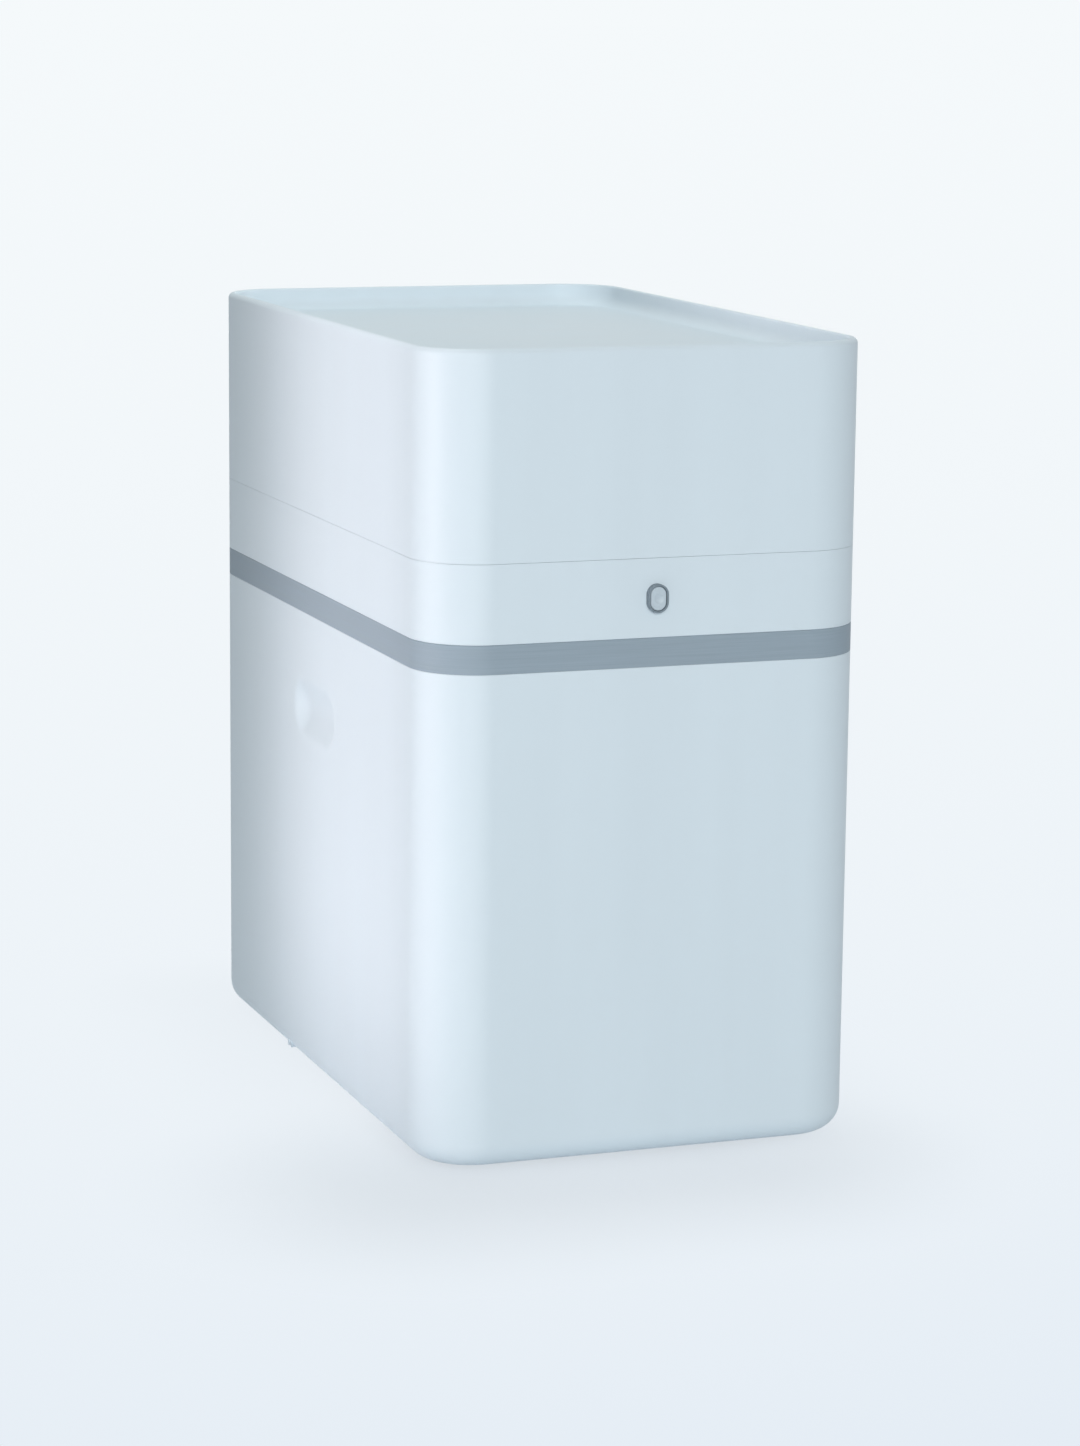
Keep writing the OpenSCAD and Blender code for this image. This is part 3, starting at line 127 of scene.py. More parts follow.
class CasingSettings(bpy.types.PropertyGroup):
    """Sizes of the moulded casing that its box doesn't give."""

    corner: length("Corner radius", 41.5, "Radius of the upright corners")
    wall: length("Wall", 3.2, "Thickness of the moulded walls")
    floor: length("Floor", 4.0, "Thickness of the cabinet's floor and flange")
    base: length("Base radius", 16.0, "Radius of the cabinet's bottom edge")
    flange: length("Flange width", 18.0, "Width of the cabinet's inward top flange")
    edge: length("Parting edge", 0.6, "Radius of the edges beside the band, seen as a dark line")
    hairline: length("Hairline", 0.15, "Gap that shows between the collar and the hood")
    seam: length("Seam edge", 0.12, "Radius of the edges beside the hairline under the hood")
    band: length("Band thickness", 3.0, "Thickness of the trim band")
    skirt: length("Skirt", 3.0, "Thickness of the collar's skirt behind the band")
    slip: length("Slip", 0.2, "Gap between the band and the skirt")
    ledge: length("Ledge width", 9.0, "Width of the ledge that carries the gasket")
    ledge_t: length("Ledge thickness", 3.0, "Thickness of the ledge and of the hood's flange")
    gasket: length("Gasket height", 6.0, "Height from the ledge to the seam")
    rim: length("Rim width", 5.0, "Width of the rim around the dish")
    rim_edge: length("Rim radius", 3.5, "Radius of the rim's outer edge")
    dish: length("Dish depth", 15.0, "Depth of the dish in the top")
    dish_edge: length("Dish radius", 8.0, "Radius between the dish's sides and its floor")
    grip_l: length("Grip length", 50.0, "Straight length of a grip scoop")
    grip_r: length("Grip radius", 22.0, "Radius of the grip scoop")
    grip_d: length("Grip depth", 7.0, "Depth of the grip scoop in the wall")
    grip_z: length("Grip height", 250.0, "Height of the grip scoop above the floor")
    grip_soft: length("Grip softness", 2.2, "Width over which the scoop's lip is rounded")


class ButtonSettings(bpy.types.PropertyGroup):
    """Sizes of the push button and its ring."""

    ring: length("Ring thickness", 1.3, "Thickness of the raised ring")
    lip: length("Lip", 2.0, "How far the ring's lip reaches behind the wall")
    lip_t: length("Lip thickness", 1.2, "Thickness of the ring's lip")
    proud: length("Proud", 4.5, "How far the ring stands out of the front")
    gap: length("Gap", 0.2, "Gap around the button")
    sunk: length("Sunk", 0.5, "How far the button's face lies inside the ring")
    dimple: length("Dimple depth", 0.6, "Depth of the finger dimple")
    dimple_r: length("Dimple radius", 8.6, "Radius of the finger dimple's sphere")
    stem: length("Stem radius", 3.5, "Radius of the button's stem")
    flange_t: length("Flange", 2.0, "Thickness of the button's flange")


class FittingSettings(bpy.types.PropertyGroup):
    """Sizes of the feet, hinges, ports and head that their boxes don't give."""

    foot: length("Foot radius", 15.0, "Radius of a rubber foot")
    boss: length("Boss radius", 5.0, "Radius of a screw boss under the cabinet's flange")
    boss_l: length("Boss length", 12.0, "Length of a screw boss below the flange")
    leaf: length("Leaf", 2.5, "Thickness of a hinge's leaves")
    leaf_off: length("Leaf distance", 5.8, "Distance of a leaf's plate from the hinge's axis")
    knuckle: length("Knuckle radius", 5.0, "Radius of a hinge's knuckles")
    knuckle_l: length("Knuckle length", 14.0, "Length of a hinge's middle knuckle")
    knuckle_gap: length("Knuckle gap", 0.3, "Gap between a hinge's knuckles")
    pin: length("Pin radius", 2.0, "Radius of a hinge's pin")
    pin_head: length("Pin head", 3.2, "Radius of the heads at a hinge pin's ends")
    stub: length("Stub radius", 13.2, "Outer radius of the pipe stubs' thread")
    stub_bore: length("Stub bore", 7.5, "Radius of the pipe stubs' bore")
    stub_pitch: length("Stub pitch", 1.814, "Pitch of the pipe stubs' thread")
    nut: length("Nut corner", 18.5, "Radius over the corners of a pipe stub's nut")
    nut_bore: length("Nut bore", 13.4, "Radius of the bore of a pipe stub's nut")
    gland: length("Gland radius", 10.9, "Radius of a stopcock's gland")
    gland_bore: length("Gland bore", 4.06, "Radius of the hole in a stopcock's gland")
    drain: length("Drain barb", 6.25, "Radius over the drain spigot's barbs")
    drain_root: length("Drain root", 5.1, "Radius between the drain spigot's barbs")
    drain_bore: length("Drain bore", 4.0, "Radius of the drain spigot's bore")
    drain_hex: length("Drain corner", 11.0, "Radius over the corners of the drain spigot's hexagon")
    cover: length("Cover wall", 3.0, "Thickness of the head cover's walls")
    cover_corner: length("Cover corner", 20.0, "Radius of the head cover's upright corners")
    cover_edge: length("Cover edge", 4.5, "Radius of the head cover's top edge")
    ear: length("Ear radius", 6.5, "Radius of the head cover's screw ears")
    ear_hole: length("Ear hole", 1.8, "Radius of the hole in a screw ear")
    ear_t: length("Ear height", 6.0, "Height of a screw ear")
    dial: length("Dial radius", 22.6, "Outer radius of the raised dial")
    dial_in: length("Dial inside", 18.0, "Inner radius of the raised dial")
    dial_t: length("Dial height", 0.5, "How far the dial stands up, and its marks above it")
    cap_skirt: length("Cap skirt", 15.0, "Height of the skirt of the brine well's cap")
    wire: length("Wire radius", 0.4, "Radius of the latch spring's wire")


class FinishSettings(bpy.types.PropertyGroup):
    """Colours of the finishes."""

    casing: colour("Casing", "DDE8EF", "Cool white moulded casing")
    band: colour("Band", "9AA8B3", "Blue-grey trim band")
    bezel: colour("Ring", "7A8790", "Grey ring around the button")
    button: colour("Button", "C3CFD7", "Pale button")
    rubber: colour("Rubber", "26292B", "Feet, gasket and seals")
    hinge: colour("Hinge", "9AA6AE", "Hinges and their knuckles")
    steel: colour("Steel", "C3C8CB", "Zinc-plated screws, pins and spring")
    rod: colour("Rod", "BFC3C4", "Stainless float rod")
    brass: colour("Brass", "C2A25A", "Nuts and glands of the ports")
    acetal: colour("Acetal", "EDEDE6", "Gears, valve disc and turbine")
    latch: colour("Latch", "3C4348", "Latch, bracket and manifold plastics")
    brine: colour("Brine plastic", "D3DBDF", "Brine well, grid and partition")
    cap: colour("Cap", "7F8B93", "Caps, nuts and clamps")
    cover: colour("Cover", "C4CED5", "Control head's cover")
    float_blue: colour("Float", "3E6E9E", "Brine float")
    vessel: colour("Vessel", "2F5479", "Wound resin vessels")
    resin: colour("Resin", "A8692B", "Resin beads")
    tube: colour("Tube", "E4E8E6", "Brine tube and risers")
    handle: colour("Handle", "2F6DA8", "Stopcock handles")


class StageSettings(bpy.types.PropertyGroup):
    """Camera, lamps and floor."""

    eye: FloatVectorProperty(
        name="Camera place", description="Where the camera stands", subtype="TRANSLATION", size=3,
        unit="LENGTH", default=(-0.88821, -2.47732, 0.72658),
    )
    azimuth: turning("Azimuth", -20.0815, "Camera's turn about the part from the front")
    pitch: turning("Pitch", 10.6011, "How far the camera looks down")
    roll: turning("Roll", 0.5938, "Camera's tilt about its own axis")
    lens: FloatProperty(name="Lens", description="Focal length in mm", default=99.11, min=10)
    near: colour("Floor near", "E5EDF5", "Floor ahead of the part")
    far: colour("Floor far", "F5F9FB", "Floor and backdrop far behind the part")
    front_lamp: watts("Front lamp", 198.0, "Power of the front panel")
    corner_lamp: watts("Corner lamp", 0.1, "Power of the panel off the front left corner")
    side_lamp: watts("Side lamp", 0.88, "Power of the left panel")
    right_lamp: watts("Right lamp", 0.6, "Power of the right panel")
    rear_lamp: watts("Rear lamp", 18.0, "Power of the panel behind")
    top_lamp: watts("Top lamp", 8.6, "Power of the overhead panel")
    ambient: FloatProperty(
        name="Ambient", description="Strength of the even light", default=0.265, min=0
    )


SETTINGS = {
    "softener_casing": CasingSettings,
    "softener_button": ButtonSettings,
    "softener_fitting": FittingSettings,
    "softener_finish": FinishSettings,
    "softener_stage": StageSettings,
}

# Lamps: name, tint, place, target, width and height in metres, and spread in degrees
LAMPS = (
    ("front", "FBFFFF", (-1.07, -6.3, 1.9), (0.0, -0.25, 0.25), 2.75, 3.0, 180),
    ("corner", "FFF8F8", (-0.58, -1.35, 0.75), (-0.145, -0.25, 0.25), 0.4, 0.9, 50),
    ("side", "FFF5F7", (-1.145, -0.11, 0.3), (-0.145, -0.11, 0.3), 0.36, 1.3, 20),
    ("right", "FFFFFF", (1.145, 0.13, 0.3), (0.145, 0.13, 0.3), 0.36, 1.3, 20),
    ("rear", "FFFFFF", (0.9, 2.3, 0.28), (0.0, 0.24, 0.26), 1.4, 0.5, 180),
    ("top", "F4FFFF", (0.0, 0.45, 1.9), (0.0, 0.1, 0.2), 1.0, 1.0, 180),
)

# Blocks around which the floor's glow is held back, a painted shadow under the part and ahead of
# its front, added to the real shadow that the matt paint takes: middle, half size, fade's width,
# least glow
PAINTED_SHADOW_BLOCKS = (
    ((-0.06, -0.26, 0), (0.1, 0.02, 0), 0.19, 0.74),
    ((0, 0, 0), (0.145, 0.24, 0), 0.12, 0.93),
)

# Screws: node, body and piece
SCREW_SETS = (
    ("collar_screws", "root", "casing_screw_set"),
    ("cover_screws", "root", "cover_screw_set"),
    ("bracket_screws", "root", "bracket_screw_set"),
    ("strap_screws", "lid", "strap_screw_set"),
)


# Shapes: arrays of points, and faces as rows of point numbers


def outline(width, depth, radius, steps, along_x, along_y):
    """Rounded rectangle, anticlockwise from its +X side: points and outward normals.

    A corner's points are its centre plus the radius times (cos a, sin a). The flats between corners
    are straight runs at the fractions along_x and along_y.
    """
    turn = np.linspace(0, np.pi / 2, steps + 1)
    points, normals = [], []
    for q, run in enumerate((along_x, along_y, along_x, along_y)):
        angle = turn + q * np.pi / 2
        sign = np.array([1 if q in (0, 3) else -1, 1 if q < 2 else -1])
        onward = np.array([-1, 1]) if q % 2 == 0 else np.array([1, -1])
        normal = np.stack([np.cos(angle), np.sin(angle)], 1)
        centre = sign * (np.array([width, depth]) / 2 - radius)
        corner = centre + radius * normal
        next_start = onward * centre + radius * normal[-1]
        flat = corner[-1] + np.asarray(run)[:, None] * (next_start - corner[-1])
        points += [corner, flat]
        normals += [normal, np.repeat(normal[-1:], len(flat), 0)]
    return np.concatenate(points), np.concatenate(normals)


def rounded(corners, loop=False, steps=5):
    """Profile through corners (inset, height, radius): each becomes an arc tangent to its two
    sides."""
    c = np.array(corners, float)
    xy, radii = c[:, :2], c[:, 2]
    out = []
    for k in range(len(c)):
        if radii[k] == 0 or (not loop and k in (0, len(c) - 1)):
            out.append(xy[k : k + 1])
            continue
        back, ahead = xy[k - 1] - xy[k], xy[(k + 1) % len(c)] - xy[k]
        back, ahead = back / np.linalg.norm(back), ahead / np.linalg.norm(ahead)
        half = np.arccos(np.clip(back @ ahead, -1, 1)) / 2
        middle = (back + ahead) / np.linalg.norm(back + ahead)
        side = (ahead - back) / np.linalg.norm(ahead - back)
        sweep = np.linspace(-1, 1, steps + 1) * (np.pi / 2 - half)
        arc = np.stack([np.cos(sweep), np.sin(sweep)], 1) @ np.stack([-middle, side])
        out.append(xy[k] + middle * radii[k] / np.sin(half) + radii[k] * arc)
    return np.concatenate(out)


def swept(path, profile, scale=None):
    """Profile along a path: point (i, j) is scale i times (path point j less inset i along normal
    j), at height i."""
    points, normals = path
    flat = points[None] - profile[:, 0, None, None] * normals[None]
    if scale is not None:
        flat = flat * np.asarray(scale)[:, None, None]
    height = np.broadcast_to(profile[:, 1, None, None], flat.shape[:2] + (1,))
    return np.concatenate([flat, height], 2)


def around(sides):
    """Angles of a ring of points."""
    return np.linspace(0, 2 * np.pi, sides, endpoint=False)


def polar(radius, angle, height):
    """Rings about Z: point (i, j) is its radius times (cos a j, sin a j), at its height."""
    r, a, z = np.broadcast_arrays(radius, angle, height)
    return np.stack([r * np.cos(a), r * np.sin(a), z], -1)


def turned(profile, sides):
    """Surface of revolution about Z of a profile's rows (radius, height)."""
    return polar(profile[:, :1], around(sides), profile[:, 1:])


def skin(grid, loop=False, first=False, last=False):
    """Closed faces over a grid whose rows are rings: loop joins the last row to the first, first
    and last close an end row onto its middle. Faces are turned to point outwards by the sign of the
    volume."""
    rows, cols = grid.shape[:2]
    points = grid.reshape(-1, 3)
    index = np.arange(rows * cols).reshape(rows, cols)
    if loop:
        index = np.vstack([index, index[:1]])
    a, b = index[:-1], index[1:]
    faces = [np.stack([a, np.roll(a, -1, 1), np.roll(b, -1, 1), b], -1).reshape(-1, 4)]
    for row, wanted in ((0, first), (-1, last)):
        if wanted:
            ring, onward, tip = index[row], np.roll(index[row], -1), np.full(cols, len(points))
            points = np.vstack([points, grid[row].mean(0)])
            faces.append(np.stack([ring, onward, tip] if row else [onward, ring, tip], -1))
    volume = 0
    for f in faces:
        for k in range(1, f.shape[1] - 1):
            volume += (points[f[:, 0]] * np.cross(points[f[:, k]], points[f[:, k + 1]])).sum()
    return points, [f[:, ::-1] if volume < 0 else f for f in faces]


def lathe(corners, sides, loop=False):
    """Turned solid about Z through profile corners (radius, height, rounding): its ends are closed
    onto their middle, or loop joins them into a ring."""
    return skin(turned(rounded(corners, loop), sides), loop, not loop, not loop)


def placed(shape, axes, offset):
    """Shape carried to x * axes[0] + y * axes[1] + z * axes[2] + offset; a mirrored set of axes
    turns the faces back."""
    points, faces = shape
    axes = np.array(axes, float)
    moved = points @ axes + np.asarray(offset, float)
    return moved, [f[:, ::-1] for f in faces] if np.linalg.det(axes) < 0 else faces


def block(size, corner, edge, steps=4):
    """Block about its middle: a rounded rectangle carried up a profile whose ends are rounded by
    edge."""
    wide, deep, h = size[0], size[1], size[2] / 2
    inner = min(corner * 0.98, min(wide, deep) / 4)
    rows = rounded([(inner, -h, 0), (0, -h, edge), (0, h, edge), (inner, h, 0)], steps=steps)
    path = outline(wide, deep, corner, steps + 2, [0.5], [0.5])
    return skin(swept(path, rows), first=True, last=True)


def threaded(radius, depth, pitch, low, high, sides, per_turn=8):
    """Threaded rod about Z: the radius falls by depth along a helix, as a rounded vee of the given
    pitch, and the thread runs out over its first and last turn. It stays a hair inside its
    radius."""
    hair = 0.02 * MM
    rows = int(np.ceil((high - low) / pitch * per_turn)) + 1
    z = np.linspace(low, high, rows)[:, None]
    angle = around(sides)[None]
    phase = (z / pitch - angle / (2 * np.pi)) % 1
    vee = 0.5 - 0.5 * np.cos(2 * np.pi * phase)
    fade = np.clip(np.minimum(z - low, high - z) / pitch, 0, 1)
    return polar(radius - depth * (1 - vee) * fade - hair, angle, z)


def hex_nut(across, bore, low, high, sides=96):
    """Hexagon nut about Z: its sides lie at half across the flats over the cosine of the angle from
    each flat, and a 30 degree cone takes its corners off."""
    flat, lip = across / 2, 0.6 * MM
    angle = around(sides)
    hexagon = flat / np.cos((angle + np.pi / 6) % (np.pi / 3) - np.pi / 6)
    face = flat - 0.3 * MM
    drop = (hexagon - face) * np.tan(np.pi / 6)
    rows = [
        (bore, low + lip), (bore + lip, low), (face, low), (hexagon, low + drop),
        (hexagon, high - drop), (face, high), (bore + lip, high), (bore, high - lip),
    ]
    radius, height = (np.stack([value + 0 * angle for value in column]) for column in zip(*rows))
    return skin(polar(radius, angle, height), loop=True)


def pan_screw(shank, sides=48):
    """Pan-head screw, its head's seat on z = 0: a low dome with a cross recess whose depth falls
    off smoothly at the edges of its two slots, and a threaded shank below."""
    head, tall = SCREW_HEAD, SCREW_TALL
    half_slot, slot_reach, slot_deep, fall = 0.5 * MM, 2.1 * MM, 1.2 * MM, 0.5 * MM
    thread_deep, pitch, per_turn = 0.45 * MM, 1.4 * MM, 6
    r = np.concatenate([np.linspace(0.03, 0.6, 12), [0.68, 0.76, 0.84, 0.9]])[:, None] * head
    angle = around(sides) + np.pi / sides
    x, y = np.abs(r * np.cos(angle)), np.abs(r * np.sin(angle))
    near, far = np.minimum(x, y), np.maximum(x, y)
    inside = 1 / (1 + np.exp((near - half_slot) / (0.1 * MM)))
    slot = inside / (1 + np.exp((far - slot_reach) / (0.12 * MM)))
    top = polar(r, angle, tall - fall * (r / head) ** 3 - slot_deep * slot)
    side = rounded([
        (0.9 * head, tall - 0.4 * MM, 0), (head, tall - 0.7 * MM, 0.3 * MM), (head, 0, 0.2 * MM),
        (SCREW_CORE, 0, 0),
    ])
    edge = polar(side[:, :1], angle, side[:, 1:])
    shaft = threaded(SCREW_CORE, thread_deep, pitch, -shank, 0, sides, per_turn)[::-1]
    return skin(np.concatenate([top, edge[1:], shaft[1:]]), first=True, last=True)


def node_points(node):
    """Points of a node's mesh."""
    mesh = frame["nodes"][node].data
    co = np.zeros(len(mesh.vertices) * 3, np.float32)
    mesh.vertices.foreach_get("co", co)
    return co.reshape(-1, 3)


def islands(node):
    """Boxes of a node's separate solids, found by joining points that share a place, in order of
    place."""
    mesh, co = frame["nodes"][node].data, node_points(node)
    index = np.zeros(len(mesh.loops), np.int32)
    mesh.loops.foreach_get("vertex_index", index)
    _, same = np.unique(np.round(co, 6), axis=0, return_inverse=True)
    tri = same.reshape(-1)[index].reshape(-1, 3)
    label = np.arange(same.max() + 1)
    while True:
        low = label[tri].min(1)
        fresh = label.copy()
        for k in range(3):
            np.minimum.at(fresh, tri[:, k], low)
        if (fresh == label).all():
            break
        label = fresh
    own = label[same.reshape(-1)]
    solids = [co[own == group].astype(float) for group in np.unique(own)]
    boxes = [(solid.min(0), solid.max(0)) for solid in solids]
    return sorted(boxes, key=lambda b: (round(b[0][2], 3), round(b[0][1], 3), b[0][0]))


def build(name, shapes, slot, body, *nodes, sharp=42):
    """Joins shapes into one piece with a slot's finish, which rides on a body and stands for the
    nodes it replaces; edges sharper than so many degrees stay sharp."""
    points, faces, base = [], [], 0
    for p, fs in shapes:
        points.append(p)
        faces += [row for f in fs for row in (f + base).tolist()]
        base += len(p)
    mesh = bpy.data.meshes.new(name)
    mesh.from_pydata(np.concatenate(points).tolist(), [], faces)
    mesh.shade_smooth()
    mesh.set_sharp_from_angle(angle=float(np.radians(sharp)))
    mesh.materials.append(finishes()[slot])
    piece = bpy.data.objects.new(name, mesh)
    bpy.context.scene.collection.objects.link(piece)
    weighted = piece.modifiers.new("Weighted normals", "WEIGHTED_NORMAL")
    weighted.keep_sharp = True
    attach(piece, body)
    if nodes:
        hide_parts(*nodes)
    return piece


def body_outline(dense=None, flat_x=10, flat_y=14, steps=22):
    """The casing's outline about its middle; dense adds close points along the sides for the grip
    scoops."""
    casing = bpy.context.scene.softener_casing
    width, depth = CABINET_HIGH.x - CABINET_LOW.x, REAR_Y - FRONT_Y
    run_x = np.linspace(0, 1, flat_x + 1)[1:-1]
    run_y = np.linspace(0, 1, flat_y + 1)[1:-1]
    if dense is not None:
        close = 0.5 + dense / (depth - 2 * casing.corner)
        apart = run_y[np.abs(run_y - 0.5) > close.max() - 0.5]
        run_y = np.unique(np.round(np.concatenate([apart, close]), 6))
    return outline(width, depth, casing.corner, steps, run_x, run_y)


def cased(corners, loop=True, steps=5):
    """Profile corners (inset, height, rounding) carried around the casing: loop joins the profile's
    ends, and otherwise each end is closed onto its middle."""
    grid = swept(body_outline(), rounded(corners, loop, steps)) + MIDDLE
    return skin(grid, loop, not loop, not loop)


# Finishes


def add(tree, kind, inputs=None, **settings):
    """Adds one node: settings are its own properties, inputs are plain values or other nodes'
    sockets."""
    node = tree.nodes.new(kind)
    for key, value in settings.items():
        setattr(node, key, value)
    for key, value in (inputs or {}).items():
        if isinstance(value, bpy.types.NodeSocket):
            tree.links.new(value, node.inputs[key])
        else:
            node.inputs[key].default_value = value
    return node


def cleared(owner):
    """The empty node tree of a new material or world."""
    owner.use_nodes = True
    owner.node_tree.nodes.clear()
    return owner.node_tree


def principled(name, **sockets):
    """A material with one Principled shader, and its Object coordinates; sockets are set by their
    names, with spaces as underscores."""
    material = bpy.data.materials.new(name)
    tree = cleared(material)
    inputs = {k.replace("_", " "): v for k, v in sockets.items()}
    shader = add(tree, "ShaderNodeBsdfPrincipled", inputs)
    add(tree, "ShaderNodeOutputMaterial", {"Surface": shader.outputs["BSDF"]})
    return material, tree, shader, add(tree, "ShaderNodeTexCoord").outputs["Object"]


def textured(
    tree, shader, tone, height, base, drift, relief, deep, swing=0.0, edge=0.0, hollow=False
):
    """Works patterns into a shader: tone drifts the colour and the gloss, height raises or hollows
    the surface.

    drift is the share of the colour and swing the roughness that tone adds or takes. deep is the
    relief's height and edge the radius that hard edges are rounded to, in millimetres.
    """
    low, high = 0.3, 0.7
    ramp = add(tree, "ShaderNodeValToRGB", {"Fac": tone})
    for stop, place, level in zip(ramp.color_ramp.elements, (low, high), (1 - drift, 1 + drift)):
        stop.position, stop.color = place, (*[min(c * level, 1) for c in base], 1)
    tree.links.new(ramp.outputs["Color"], shader.inputs["Base Color"])
    if swing:
        rough = shader.inputs["Roughness"].default_value
        gloss = add(tree, "ShaderNodeMapRange", {
            "Value": tone, "From Min": low, "From Max": high,
            "To Min": rough - swing, "To Max": rough + swing,
        })
        tree.links.new(gloss.outputs["Result"], shader.inputs["Roughness"])
    bump = add(tree, "ShaderNodeBump", {
        "Height": height, "Strength": relief, "Distance": deep * MM,
    }, invert=hollow)
    if edge:
        soft = add(tree, "ShaderNodeBevel", {"Radius": edge * MM}, samples=4)
        tree.links.new(soft.outputs["Normal"], bump.inputs["Normal"])
    tree.links.new(bump.outputs["Normal"], shader.inputs["Normal"])


def moulded(
    name, base, grain, relief, rough, swing=0.06, drift=0.02, flow=(40, 40, 160), edge=0.0,
    **sockets,
):
    """Injection-moulded plastic: a spark-eroded grain breaks up the gloss, and slow flow marks
    drift the colour.

    grain is the grain's spacing and flow the flow marks' size along X, Y and Z, in millimetres;
    edge rounds the hard edges that the tool's parting leaves, in millimetres.
    """
    material, tree, shader, place = principled(name, Roughness=rough, **sockets)
    scale = [1000 / f for f in flow]
    spread = add(tree, "ShaderNodeMapping", {"Vector": place, "Scale": scale}).outputs["Vector"]
    marks = add(tree, "ShaderNodeTexNoise", {"Vector": spread, "Scale": 1.0, "Detail": 3.0})
    pits = add(tree, "ShaderNodeTexNoise", {"Vector": place, "Scale": 1000 / grain, "Detail": 2.0})
    tone, height = marks.outputs["Fac"], pits.outputs["Fac"]
    textured(tree, shader, tone, height, base, drift, relief, 1.0, swing, edge)
    return material


def brushed(
    name, base, along=60.0, across=0.9, relief=0.05, rough=0.4, swing=0.1, edge=0.0, **sockets
):
    """Brushed or drawn surface: fine lines run level, long along the piece and close together up
    it, in mm."""
    material, tree, shader, place = principled(name, Roughness=rough, **sockets)
    scale = [1000 / along, 1000 / along, 1000 / across]
    spread = add(tree, "ShaderNodeMapping", {"Vector": place, "Scale": scale}).outputs["Vector"]
    lines = add(tree, "ShaderNodeTexNoise", {"Vector": spread, "Scale": 1.0, "Detail": 4.0})
    tone = lines.outputs["Fac"]
    textured(tree, shader, tone, tone, base, 0.05, relief, 0.5, swing, edge)
    return material


def wound_glass(name, base):
    """Filament-wound glass and epoxy: two crossing bands of strands under a glossy resin skin.

    The strands lie about 9 mm apart, drawn by two wave patterns that lean against each other.
    """
    spacing, waves_per_unit, lean = 9, 3.2, 0.9
    material, tree, shader, place = principled(
        name, Roughness=0.28, Coat_Weight=0.5, Coat_Roughness=0.12
    )
    waves = []
    for turn in (lean, -lean):
        tilt = add(tree, "ShaderNodeMapping", {"Vector": place, "Rotation": (turn, turn, 0)})
        wave = add(tree, "ShaderNodeTexWave", {
            "Vector": tilt.outputs["Vector"], "Scale": 1000 / spacing / waves_per_unit,
            "Distortion": 1.2, "Detail": 2.0,
        }, bands_direction="Z")
        waves.append(wave.outputs["Fac"])
    both = add(tree, "ShaderNodeMath", {0: waves[0], 1: waves[1]}, operation="MULTIPLY")
    tone = both.outputs["Value"]
    textured(tree, shader, tone, tone, base, 0.22, 0.18, 0.6)
    return material


def beads(name, base, size):
    """Ion-exchange resin: translucent amber beads, drawn at size millimetres, coarser than the real
    0.6 mm."""
    material, tree, shader, place = principled(name, Roughness=0.35)
    cells = add(tree, "ShaderNodeTexVoronoi", {"Vector": place, "Scale": 1000 / size})
    tone = cells.outputs["Distance"]
    textured(tree, shader, tone, tone, base, 0.35, 0.6, 1.0, hollow=True)
    return material


